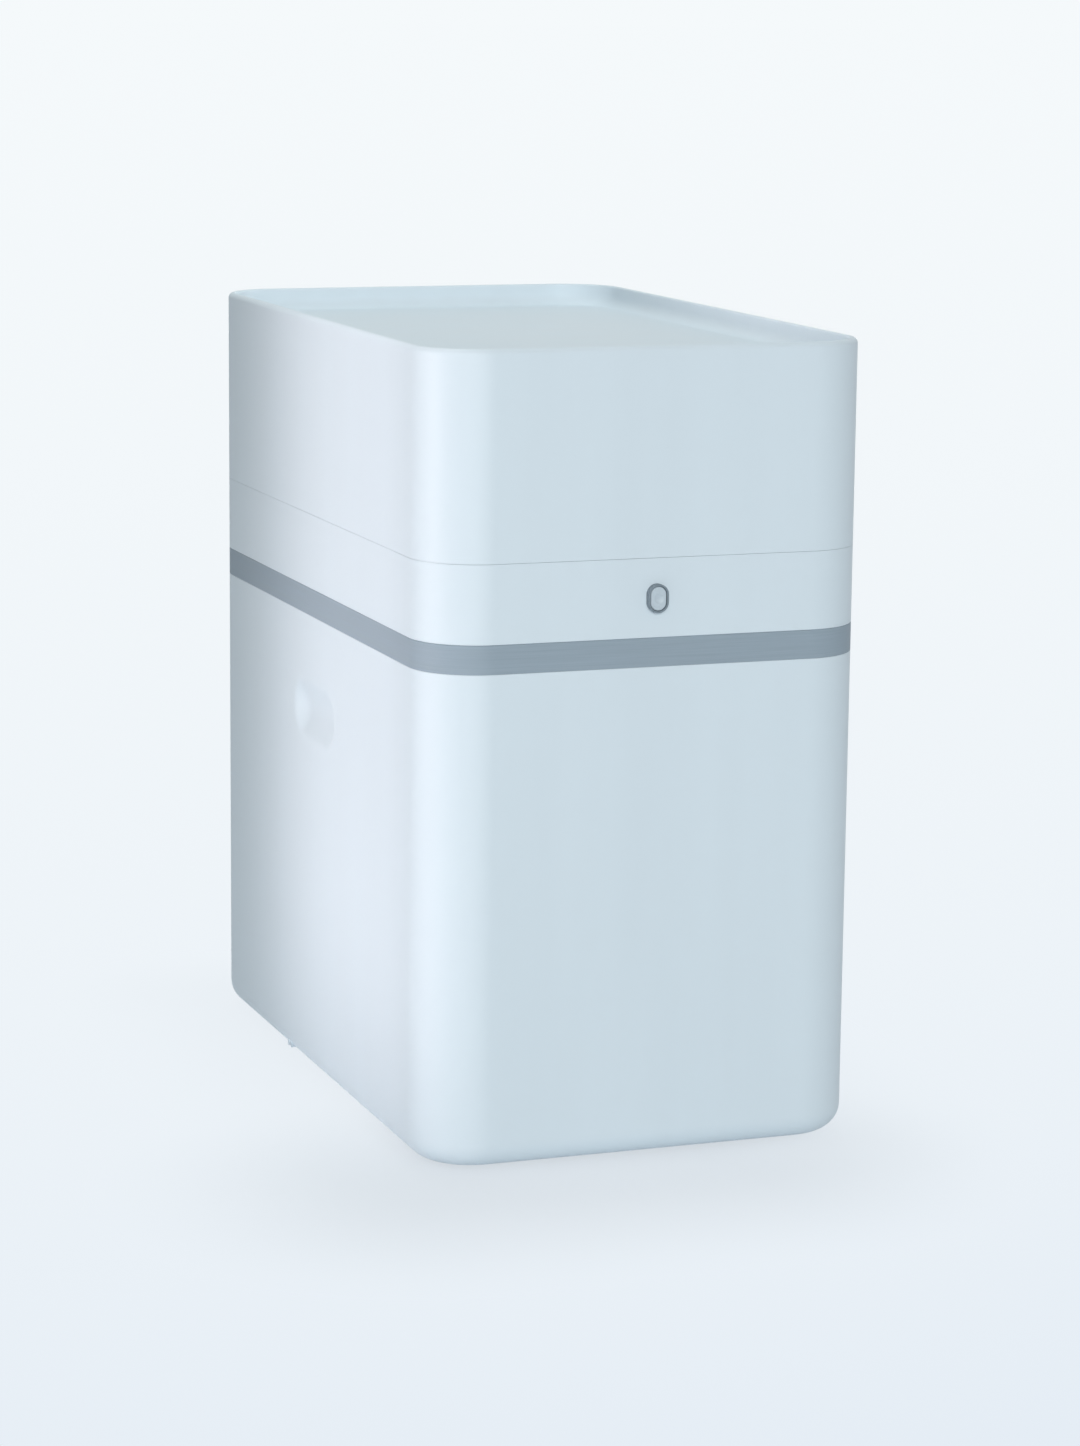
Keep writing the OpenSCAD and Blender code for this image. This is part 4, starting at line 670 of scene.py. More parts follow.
def finishes():
    """Every finish by its slot name, made once."""
    kept = {m["softener"]: m for m in bpy.data.materials if "softener" in m}
    if kept:
        return kept
    c = bpy.context.scene.softener_finish
    made = {
        # Polypropylene from a polished tool: cool white, satin gloss, slow upright flow marks
        "casing_white": moulded(
            "gloss_polypropylene", c.casing, grain=3.0, relief=0.012, rough=0.5, swing=0.05,
            drift=0.012, flow=(45, 45, 420), Specular_IOR_Level=0.4, Coat_Weight=0.06,
            Coat_Roughness=0.35,
        ),
        # Painted ABS strip with level brushing: matt blue-grey with fine level lines
        "band_grey": brushed("brushed_grey_abs", c.band, rough=0.55, Specular_IOR_Level=0.25),
        # Matt ABS: grey ring with a fine grain
        "bezel_dark": moulded("grained_dark_abs", c.bezel, grain=1.2, relief=0.05, rough=0.5),
        # Satin ABS: pale button, polished by fingers
        "button_pale": moulded("satin_pale_abs", c.button, grain=1.6, relief=0.02, rough=0.38),
        # EPDM rubber: nearly black, dull, with a dusty bloom
        "rubber_black": moulded(
            "epdm_rubber", c.rubber, grain=1.8, relief=0.12, rough=0.78, drift=0.25,
            flow=(14, 14, 14),
        ),
        # Glass-filled nylon: grey, with short streaks where the glass lies near the skin
        "hinge_grey": moulded(
            "glass_filled_nylon", c.hinge, grain=1.4, relief=0.08, rough=0.5, drift=0.05,
            flow=(6, 6, 18), edge=0.5,
        ),
        # Zinc-plated steel: bright, cool, with a slightly cloudy passivation
        "steel": brushed(
            "zinc_plated_steel", c.steel, along=9, across=3, relief=0.03, rough=0.3, swing=0.08,
            edge=0.3, Metallic=1.0,
        ),
        # Stainless rod: drawn lines along its length
        "float_rod_steel": brushed(
            "drawn_stainless", c.rod, along=1.2, across=30, relief=0.04, rough=0.26, Metallic=1.0,
        ),
        # Acetal: milky white, smooth, with machined softness
        "acetal_white": moulded(
            "natural_acetal", c.acetal, grain=2.0, relief=0.02, rough=0.36, edge=0.3,
        ),
        # Dark glass-filled nylon: latch and its bracket
        "latch_dark": moulded(
            "dark_glass_nylon", c.latch, grain=1.4, relief=0.08, rough=0.55, drift=0.08,
            flow=(6, 6, 18), edge=0.4,
        ),
        # Blow-moulded polyethylene: waxy, with wide soft flow marks
        "brine_plastic": moulded(
            "waxy_polyethylene", c.brine, grain=4.0, relief=0.05, rough=0.46, drift=0.035,
            flow=(30, 30, 120), edge=0.6,
        ),
        # Moulded polypropylene fittings: mid grey, satin
        "cap_grey": moulded(
            "fitting_polypropylene", c.cap, grain=1.6, relief=0.05, rough=0.48, edge=0.5,
        ),
        # Glass-filled polyphenylene: the manifold's dark matt block
        "head_dark": moulded(
            "dark_polyphenylene", c.latch, grain=1.8, relief=0.1, rough=0.58, drift=0.08,
            flow=(10, 10, 10), edge=0.7,
        ),
        # Satin ABS: the control head's pale cover
        "cover_pale": moulded(
            "satin_abs_cover", c.cover, grain=1.8, relief=0.04, rough=0.44, edge=0.8,
        ),
        # Foamed polypropylene with a moulded skin: blue and dull, with a cellular grain
        "float_blue": moulded(
            "foamed_float", c.float_blue, grain=2.6, relief=0.16, rough=0.6, drift=0.08,
            flow=(8, 8, 8), edge=0.6,
        ),
        # Filament-wound glass and epoxy: crossing blue strands under gloss
        "vessel_blue": wound_glass("wound_glass_epoxy", c.vessel),
        # Ion-exchange resin: amber beads
        "resin_amber": beads("resin_beads", c.resin, 2.5),
        # Extruded polyethylene tube: drawn lines along it
        "tube_white": moulded(
            "extruded_tube", c.tube, grain=2.2, relief=0.03, rough=0.38, flow=(3, 3, 60), edge=0.3,
        ),
        # Machined brass: warm, with fine turning lines
        "brass": brushed(
            "machined_brass", c.brass, along=5, across=0.8, relief=0.05, rough=0.28, swing=0.07,
            edge=0.5, Metallic=1.0,
        ),
        # Moulded nylon: blue handles with a satin grain
        "handle_blue": moulded(
            "blue_nylon", c.handle, grain=1.5, relief=0.06, rough=0.42, edge=0.6,
        ),
    }
    for slot, material in made.items():
        material["softener"] = slot
    return made


# Pieces


class SOFTENER_OT_stage(bpy.types.Operator):
    """Sets the camera, the lamps, the even light and a pale floor"""

    bl_idname = "softener.stage"
    bl_label = "Stage"

    def execute(self, context):
        scene, s = context.scene, context.scene.softener_stage
        scene.view_settings.view_transform = "Standard"
        self.camera(scene, s)
        self.floor(scene, s)
        self.world(scene, s)
        for side, tint, place, target, wide, tall, spread in LAMPS:
            lamp = bpy.data.lights.new(f"{side} panel", "AREA")
            lamp.shape, lamp.size, lamp.size_y = "RECTANGLE", wide, tall
            lamp.energy, lamp.color = getattr(s, f"{side}_lamp"), linear(tint)
            lamp.spread = np.radians(spread)
            panel = bpy.data.objects.new(f"{side} panel", lamp)
            panel.location = place
            panel.visible_camera = False
            aim = (Vector(target) - panel.location).to_track_quat("-Z", "Y")
            panel.rotation_euler = aim.to_euler()
            scene.collection.objects.link(panel)
        return {"FINISHED"}

    def camera(self, scene, s):
        """The camera looks along minus 'back', with its right and up turned by the roll."""
        az, pitch, roll = s.azimuth, s.pitch, s.roll
        back = np.array([np.cos(pitch) * np.sin(az), -np.cos(pitch) * np.cos(az), np.sin(pitch)])
        level = np.array([np.cos(az), np.sin(az), 0])
        over = np.cross(back, level)
        right = np.cos(roll) * level + np.sin(roll) * over
        up = np.cos(roll) * over - np.sin(roll) * level
        data = bpy.data.cameras.new("camera")
        data.lens, data.sensor_width, data.clip_end = s.lens, 36.0, 200.0
        camera = bpy.data.objects.new("camera", data)
        turn = Matrix([list(row) for row in np.stack([right, up, back], 1)]).to_4x4()
        camera.matrix_world = Matrix.Translation(Vector(s.eye)) @ turn
        scene.collection.objects.link(camera)
        scene.camera = camera

    def floor(self, scene, s):
        """A wide disc, as rings of growing radius, whose paint lightens away from the part: a
        painted shadow around the part and ahead of its front, and a tint that grows paler towards
        the back.
        """
        rings = np.concatenate([[0.02], np.geomspace(0.1, 60.0, 40)])
        points, faces = skin(turned(np.stack([rings, 0 * rings], 1), 96), first=True)
        mesh = bpy.data.meshes.new("floor")
        mesh.from_pydata(points.tolist(), [], [row for f in faces for row in f.tolist()])
        mesh.materials.append(self.floor_paint(s))
        floor = bpy.data.objects.new("floor", mesh)
        scene.collection.objects.link(floor)

    def floor_paint(self, s):
        """Matt paint that takes the part's shadow; where it is looked at, an even glow lifts it to
        the backdrop's white, less so close to the part and ahead of its front, which paints a
        shadow there besides the real one.

        The tint's near share is 1 / (1.75 + y), y being held above -0.75. Each block's lift rises
        with the distance past its sides, and the lifts are multiplied; the low lift close to a
        block is painted shade.
        """
        nought = (0, 0, 0)
        material = bpy.data.materials.new("studio_floor")
        tree = cleared(material)
        place = add(tree, "ShaderNodeTexCoord").outputs["Object"]
        depth = add(tree, "ShaderNodeSeparateXYZ", {0: place}).outputs["Y"]
        held = add(tree, "ShaderNodeMath", {0: depth, 1: -0.75}, operation="MAXIMUM")
        reach = add(tree, "ShaderNodeMath", {0: held.outputs["Value"], 1: 1.75}, operation="ADD")
        share = add(tree, "ShaderNodeMath", {0: 1.0, 1: reach.outputs["Value"]}, operation="DIVIDE")
        tint = add(tree, "ShaderNodeMix", {
            "Factor": share.outputs["Value"], "A": (*s.far, 1), "B": (*s.near, 1),
        }, data_type="RGBA").outputs["Result"]
        paint = add(tree, "ShaderNodeBsdfDiffuse", {"Color": tint})
        glow = add(tree, "ShaderNodeEmission", {"Color": tint, "Strength": 1.0})
        part = self.looked_at(tree)
        # Painted shadow: the glow is held back near each block, so the floor is painted darker
        # there
        for middle, half, fade, least in PAINTED_SHADOW_BLOCKS:
            past = place
            for step, other in (
                ("SUBTRACT", middle), ("ABSOLUTE", nought), ("SUBTRACT", half), ("MAXIMUM", nought),
            ):
                moved = add(tree, "ShaderNodeVectorMath", {0: past, 1: other}, operation=step)
                past = moved.outputs["Vector"]
            gap = add(tree, "ShaderNodeVectorMath", {0: past}, operation="LENGTH").outputs["Value"]
            lift = add(tree, "ShaderNodeMapRange", {
                "Value": gap, "From Min": 0.0, "From Max": fade, "To Min": least, "To Max": 1.0,
            }, interpolation_type="SMOOTHSTEP").outputs["Result"]
            lifted = add(tree, "ShaderNodeMath", {0: part, 1: lift}, operation="MULTIPLY")
            part = lifted.outputs["Value"]
        mix = add(tree, "ShaderNodeMixShader", {
            0: part, 1: paint.outputs["BSDF"], 2: glow.outputs["Emission"],
        })
        add(tree, "ShaderNodeOutputMaterial", {"Surface": mix.outputs["Shader"]})
        return material

    def looked_at(self, tree):
        """One where a ray comes from the camera, a reflection or through glass, else nought."""
        path = add(tree, "ShaderNodeLightPath").outputs
        seen = path["Is Camera Ray"]
        for kind in ("Is Glossy Ray", "Is Transmission Ray"):
            either = add(tree, "ShaderNodeMath", {0: seen, 1: path[kind]}, operation="MAXIMUM")
            seen = either.outputs["Value"]
        return seen

    def world(self, scene, s):
        """The backdrop's white where it is looked at, and an even ambient light elsewhere."""
        scene.world = bpy.data.worlds.new("studio")
        tree = cleared(scene.world)
        shown = add(tree, "ShaderNodeBackground", {"Color": (*s.far, 1), "Strength": 1.0})
        even = add(tree, "ShaderNodeBackground", {"Color": (*s.far, 1), "Strength": s.ambient})
        mix = add(tree, "ShaderNodeMixShader", {
            0: self.looked_at(tree), 1: even.outputs["Background"], 2: shown.outputs["Background"],
        })
        add(tree, "ShaderNodeOutputWorld", {"Surface": mix.outputs["Shader"]})


class SOFTENER_OT_cabinet(bpy.types.Operator):
    """Builds the lower cabinet with its rounded base, top flange and two soft grip scoops"""

    bl_idname = "softener.cabinet"
    bl_label = "Cabinet"

    def execute(self, context):
        k = context.scene.softener_casing
        low, top, t, edge = CABINET_LOW.z, CABINET_HIGH.z, k.wall, 0.8 * MM
        inner_low, under, deep = low + k.floor, top - k.floor, k.corner * 0.9
        soft = k.grip_r * 1.3
        close_y = np.linspace(-k.grip_l / 2 - soft, k.grip_l / 2 + soft, 56)
        close_z = np.linspace(k.grip_z - soft, k.grip_z + soft, 36)
        levels = [low + 0.06, low + 0.14, *close_z]
        corners = [
            (deep, low, 0), (0, low, k.base), *[(0, z, 0) for z in levels], (0, top, k.edge),
            (k.flange, top, edge), (k.flange, under, edge), (t, under, edge),
            *[(t, z, 0) for z in levels[::-1]], (t, inner_low, k.base - t), (deep, inner_low, 0),
        ]
        path = body_outline(close_y)
        grid = self.scoop(swept(path, rounded(corners, steps=8)) + MIDDLE, k, path[1])
        bosses = self.bosses(k, context.scene.softener_fitting)
        shapes = [skin(grid, first=True, last=True), *bosses, *self.guides(k)]
        build("cabinet_shell", shapes, "casing_white", "root", "cabinet")
        return {"FINISHED"}

    def scoop(self, grid, k, normals):
        """Pushes both faces of the side walls in by the scoop's depth: the part of a round-ended
        bar of radius r that lies inside the wall, its lip rounded by a soft maximum."""
        along = np.maximum(np.abs(grid[..., 1] - MIDDLE[1]) - k.grip_l / 2, 0)
        away = np.hypot(along, grid[..., 2] - k.grip_z)
        sunk = k.grip_r - k.grip_d
        depth = np.sqrt(np.maximum(k.grip_r**2 - away**2, 0)) - sunk
        depth = np.where(away < k.grip_r, depth, k.grip_r - away - sunk)
        soft, settle = k.grip_soft, 2.2
        rest = np.log1p(np.exp(-k.grip_d / soft * settle))
        depth = soft * (np.logaddexp(0, depth / soft) - rest)
        side = np.abs(normals[:, 0]) > 0.999
        wall = np.abs(grid[..., 0]) > CABINET_HIGH.x - 2 * k.wall
        push = np.where(side[None] & wall, np.maximum(depth, 0), 0)
        return grid - np.stack([push * np.sign(grid[..., 0]), 0 * push, 0 * push], -1)

    def bosses(self, k, f):
        """Screw bosses under the flange: turned posts with a rounded foot."""
        under = CABINET_HIGH.z - k.floor
        foot = under - f.boss_l
        one = lathe([(TIP, foot, 0), (f.boss, foot, MM), (f.boss, under, 0), (TIP, under, 0)], 24)
        low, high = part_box("collar_screws")
        near, far, side = low.y + SCREW_HEAD, high.y - SCREW_HEAD, high.x - SCREW_HEAD
        quarter_x, quarter_y = CABINET_HIGH.x / 2, (REAR_Y - FRONT_Y) / 4
        centres = [(s * side, MIDDLE[1] + q * quarter_y) for s in (-1, 1) for q in (-1, 1)]
        centres += [(s * quarter_x, y) for s in (-1, 1) for y in (near, far)]
        return [placed(one, LEVEL, (x, y, 0)) for x, y in centres]

    def guides(self, k):
        """Upright ribs that hold the partition's edges."""
        low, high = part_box("salt_partition")
        thick, off, edge, overlap = 2.4 * MM, 1.4 * MM, 0.6 * MM, 6 * MM
        outer = CABINET_HIGH.x - k.wall / 2
        reach = outer - (high.x - overlap)
        rib = block((reach, thick, high.z - low.z), edge, edge)
        return [
            placed(rib, LEVEL, (side * (outer - reach / 2), y, (low.z + high.z) / 2))
            for side in (-1, 1) for y in (low.y - off, high.y + off)
        ]


class SOFTENER_OT_band(bpy.types.Operator):
    """Builds the grey trim band with rounded edges, which leave a fine dark line along it"""

    bl_idname = "softener.band"
    bl_label = "Trim band"

    def execute(self, context):
        k = context.scene.softener_casing
        low, top, inner = BAND_LOW.z, BAND_HIGH.z, 0.3 * MM
        strip = cased([
            (0, low, k.edge / 2), (0, top, k.edge), (k.band, top, inner), (k.band, low, inner),
        ])
        build("trim_band_strip", [strip], "band_grey", "root", "trim_band")
        return {"FINISHED"}


class SOFTENER_OT_collar(bpy.types.Operator):
    """Builds the white collar with its skirt, foot and gasket ledge, and the gasket"""

    bl_idname = "softener.collar"
    bl_label = "Collar and gasket"

    def execute(self, context):
        k = context.scene.softener_casing
        t, low, foot = k.wall, BAND_HIGH.z, CABINET_HIGH.z
        skirt, ledge, reach = k.band + k.slip, SEAM_Z - k.gasket, k.wall + k.ledge
        inside, flange = skirt + k.skirt, k.flange - MM
        soft, nose = 0.5 * MM, 0.8 * MM
        shell = cased([
            (0, low, k.edge), (0, SEAM_Z, k.seam), (t, SEAM_Z, k.seam), (t, ledge, soft),
            (reach, ledge, nose), (reach, ledge - k.ledge_t, nose), (t, ledge - k.ledge_t, soft),
            (t, low + k.floor, soft / 2), (inside, low + k.floor, soft),
            (inside, foot + k.floor, soft), (flange, foot + k.floor, soft), (flange, foot, soft),
            (skirt, foot, soft), (skirt, low, 0),
        ])
        build("collar_shell", [shell], "casing_white", "root", "collar")
        z0, z1 = (corner.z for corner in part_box("lid_gasket"))
        outer, inner, bead, groove = t + k.slip, reach - MM, 1.4 * MM, z1 - 2 * MM
        ring = cased([
            (outer, z0, soft), (outer, z1, bead), (outer + 3.4 * MM, z1, bead),
            (outer + 3.8 * MM, groove, MM), (outer + 4.6 * MM, groove, MM),
            (outer + 5 * MM, z1, bead), (inner, z1, bead), (inner, z0, soft),
        ])
        build("gasket_ring", [ring], "rubber_black", "root", "lid_gasket")
        return {"FINISHED"}


class SOFTENER_OT_hood(bpy.types.Operator):
    """Builds the hood with its rounded rim and dished top"""

    bl_idname = "softener.hood"
    bl_label = "Hood"

    def execute(self, context):
        k = context.scene.softener_casing
        t, low, top, dish = k.wall, SEAM_Z + k.hairline, HOOD_TOP, HOOD_TOP - k.dish
        deep, reach, nose = k.corner * 0.92, k.wall + k.ledge, 0.8 * MM
        shell = cased([
            (deep, dish, 0), (k.rim, dish, k.dish_edge),
            (k.rim, top, k.rim - k.rim_edge - 0.1 * MM), (0, top, k.rim_edge), (0, low, k.seam),
            (reach, low, nose), (reach, low + k.ledge_t, nose), (t, low + k.ledge_t, 0.5 * MM),
            (t, dish - t, 4 * MM), (deep, dish - t, 0),
        ], loop=False, steps=8)
        build("hood_shell", [shell], "casing_white", "lid", "lid_hood")
        return {"FINISHED"}


class SOFTENER_OT_button(bpy.types.Operator):
    """Builds the raised oval ring and the push button with its finger dimple"""

    bl_idname = "softener.button"
    bl_label = "Button"

    def execute(self, context):
        b, wall = context.scene.softener_button, context.scene.softener_casing.wall
        low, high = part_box("button_bezel")
        w, h = high.x - low.x - 2 * b.lip, high.z - low.z - 2 * b.lip
        offset = (0, 0, (low.z + high.z) / 2)
        front, inside = FRONT_Y - b.proud, FRONT_Y + wall
        back = inside + b.lip_t
        rows = rounded([
            (0, front, 0.55 * MM), (b.ring, front, 0.5 * MM), (b.ring, back, 0.2 * MM),
            (-b.lip, back, 0.2 * MM), (-b.lip, inside, 0.2 * MM), (0, inside, 0.1 * MM),
        ], True)
        ring = placed(skin(swept(self.oval(w, h), rows), loop=True), UPRIGHT, offset)
        build("button_ring", [ring], "bezel_dark", "root", "button_bezel")
        shapes = [placed(shape, UPRIGHT, offset) for shape in self.plug(b, w, h, front, back)]
        build("button_face", shapes, "button_pale", "button", "release_button")
        return {"FINISHED"}

    def oval(self, w, h):
        """Round-ended oval as a rounded rectangle whose corners take nearly half its width."""
        return outline(w, h, w / 2 - 0.02 * MM, 14, [], np.linspace(0, 1, 6)[1:-1])

    def plug(self, b, w, h, front, back):
        """The button: a face with a spherical dimple, sides into a flange, and a stem."""
        gap, face, flange = b.ring + b.gap, front + b.sunk, back + b.gap
        end, rings, lip = flange + b.flange_t, 18, 0.05 * MM
        rows = rounded([
            (MM, face, 0), (0, face, 0.7 * MM), (0, flange, 0.1 * MM), (-gap, flange, 0.2 * MM),
            (-gap, end, 0.4 * MM), (MM, end, 0),
        ])
        scale = np.concatenate([np.linspace(0.04, 0.98, rings), np.ones(len(rows))])
        rows = np.concatenate([np.repeat(rows[:1], rings, 0), rows])
        grid = swept(self.oval(w - 2 * gap, h - 2 * gap), rows, scale)
        away = np.hypot(grid[..., 0], grid[..., 1])
        cup = np.sqrt(np.maximum(b.dimple_r**2 - away**2, 0)) - (b.dimple_r - b.dimple)
        on_face = (np.arange(len(grid)) < rings)[:, None]
        grid[..., 2] += np.where(on_face, lip * np.logaddexp(0, cup / lip), 0)
        root, tip = flange + MM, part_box("release_button")[1].y
        stem = lathe([
            (FINE_TIP, root, 0), (b.stem, root, 0), (b.stem, tip, 0.6 * MM), (FINE_TIP, tip, 0),
        ], 32)
        return [skin(grid, first=True, last=True), stem]


class SOFTENER_OT_feet(bpy.types.Operator):
    """Builds the ribbed rubber feet"""

    bl_idname = "softener.feet"
    bl_label = "Feet"

    def execute(self, context):
        low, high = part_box("feet")
        r, base, top, edge = context.scene.softener_fitting.foot, low.z, high.z, 0.2 * MM
        groove = base + 0.5 * MM
        rows = [(TIP, groove, 0)]
        for rib in (4 * MM, 8 * MM, 12 * MM):
            rows += [
                (rib - 1.6 * MM, groove, edge), (rib - 1.2 * MM, base, edge),
                (rib + MM, base, edge), (rib + 1.4 * MM, groove, edge),
            ]
        rows += [(r, groove, 1.2 * MM), (r, top, 0.3 * MM), (TIP, top, 0)]
        one = lathe(rows, 64)
        xs, ys = (low.x + r, high.x - r), (low.y + r, high.y - r)
        shapes = [placed(one, LEVEL, (x, y, 0)) for x in xs for y in ys]
        build("foot_pads", shapes, "rubber_black", "root", "feet")
        return {"FINISHED"}


class SOFTENER_OT_screws(bpy.types.Operator):
    """Builds the cross-head screws of the casing, hinges and cover"""

    bl_idname = "softener.screws"
    bl_label = "Screws"

    def execute(self, context):
        for node, body, name in SCREW_SETS:
            shapes = []
            for low, high in islands(node):
                x, y, z = (low + high) / 2
                if high[1] - low[1] > high[2] - low[2]:
                    screw = pan_screw(high[1] - low[1] - SCREW_TALL)
                    shapes.append(placed(screw, REARWARD, (x, high[1] - SCREW_TALL, z)))
                else:
                    screw = pan_screw(high[2] - low[2] - SCREW_TALL)
                    shapes.append(placed(screw, LEVEL, (x, y, high[2] - SCREW_TALL)))
            build(name, shapes, "steel", body, node, sharp=50)
        return {"FINISHED"}


class SOFTENER_OT_hinges(bpy.types.Operator):
    """Builds the two rear hinges: leaves with rounded corners, grooved knuckles and headed pins"""

    bl_idname = "softener.hinges"
    bl_label = "Hinges"

    def execute(self, context):
        f = context.scene.softener_fitting
        pins = islands("hinge_pins")
        axis_y, axis_z = (pins[0][0] + pins[0][1])[1:] / 2
        for node, body, name in (
            ("hinge_brackets", "root", "bracket_leaves"), ("hinge_straps", "lid", "strap_leaves"),
        ):
            shapes = [s for box in islands(node) for s in self.leaf(f, *box, axis_y, axis_z)]
            build(name, shapes, "hinge_grey", body, node)
        shapes = []
        for low, high in pins:
            run, head, edge = high[0] - low[0], f.pin_head, 0.5 * MM
            pin = lathe([
                (FINE_TIP, 0, 0), (head, 0, edge), (head, MM, 0.2 * MM), (f.pin, MM, 0),
                (f.pin, run - MM, 0), (head, run - MM, 0.2 * MM), (head, run, edge),
                (FINE_TIP, run, 0),
            ], 32)
            shapes.append(placed(pin, SIDEWAYS, (low[0], axis_y, axis_z)))
        build("hinge_pin_pair", shapes, "steel", "root", "hinge_pins")
        return {"FINISHED"}

    def leaf(self, f, low, high, axis_y, axis_z):
        """One leaf: a plate above or below the axis, and knuckles with a web that joins each to the
        plate."""
        x, wide, y = (low[0] + high[0]) / 2, high[0] - low[0], REAR_Y + f.leaf / 2
        up = 1 if high[2] - axis_z > axis_z - low[2] else -1
        near, far = axis_z + up * f.leaf_off, high[2] if up > 0 else low[2]
        plate = block((wide, abs(far - near), f.leaf), 3 * MM, 0.6 * MM)
        shapes = [placed(plate, UPRIGHT, (x, y, (near + far) / 2))]
        arm = (wide - f.knuckle_l) / 2 - f.knuckle_gap
        runs = [(low[0], arm), (high[0] - arm, arm)]
        if up > 0:
            runs = [(x - f.knuckle_l / 2, f.knuckle_l)]
        tall, edge = f.leaf_off + 2 * MM, 0.4 * MM
        for start, run in runs:
            web = block((run, tall, f.leaf - 0.2 * MM), edge, edge)
            shapes.append(placed(self.knuckle(f.knuckle, run), SIDEWAYS, (start, axis_y, axis_z)))
            shapes.append(placed(web, UPRIGHT, (start + run / 2, y, axis_z + up * tall / 2)))
        return shapes

    def knuckle(self, r, run):
        """Turned knuckle with softened ends and two shallow grooves."""
        half, deep, edge = 0.5 * MM, 0.3 * MM, 0.1 * MM
        rows = [(TIP, 0, 0), (r, 0, 0.5 * MM)]
        for z in (run / 3, run * 2 / 3):
            rows += [(r, z - half, edge), (r - deep, z, edge), (r, z + half, edge)]
        return lathe([*rows, (r, run, 0.5 * MM), (TIP, run, 0)], 48)


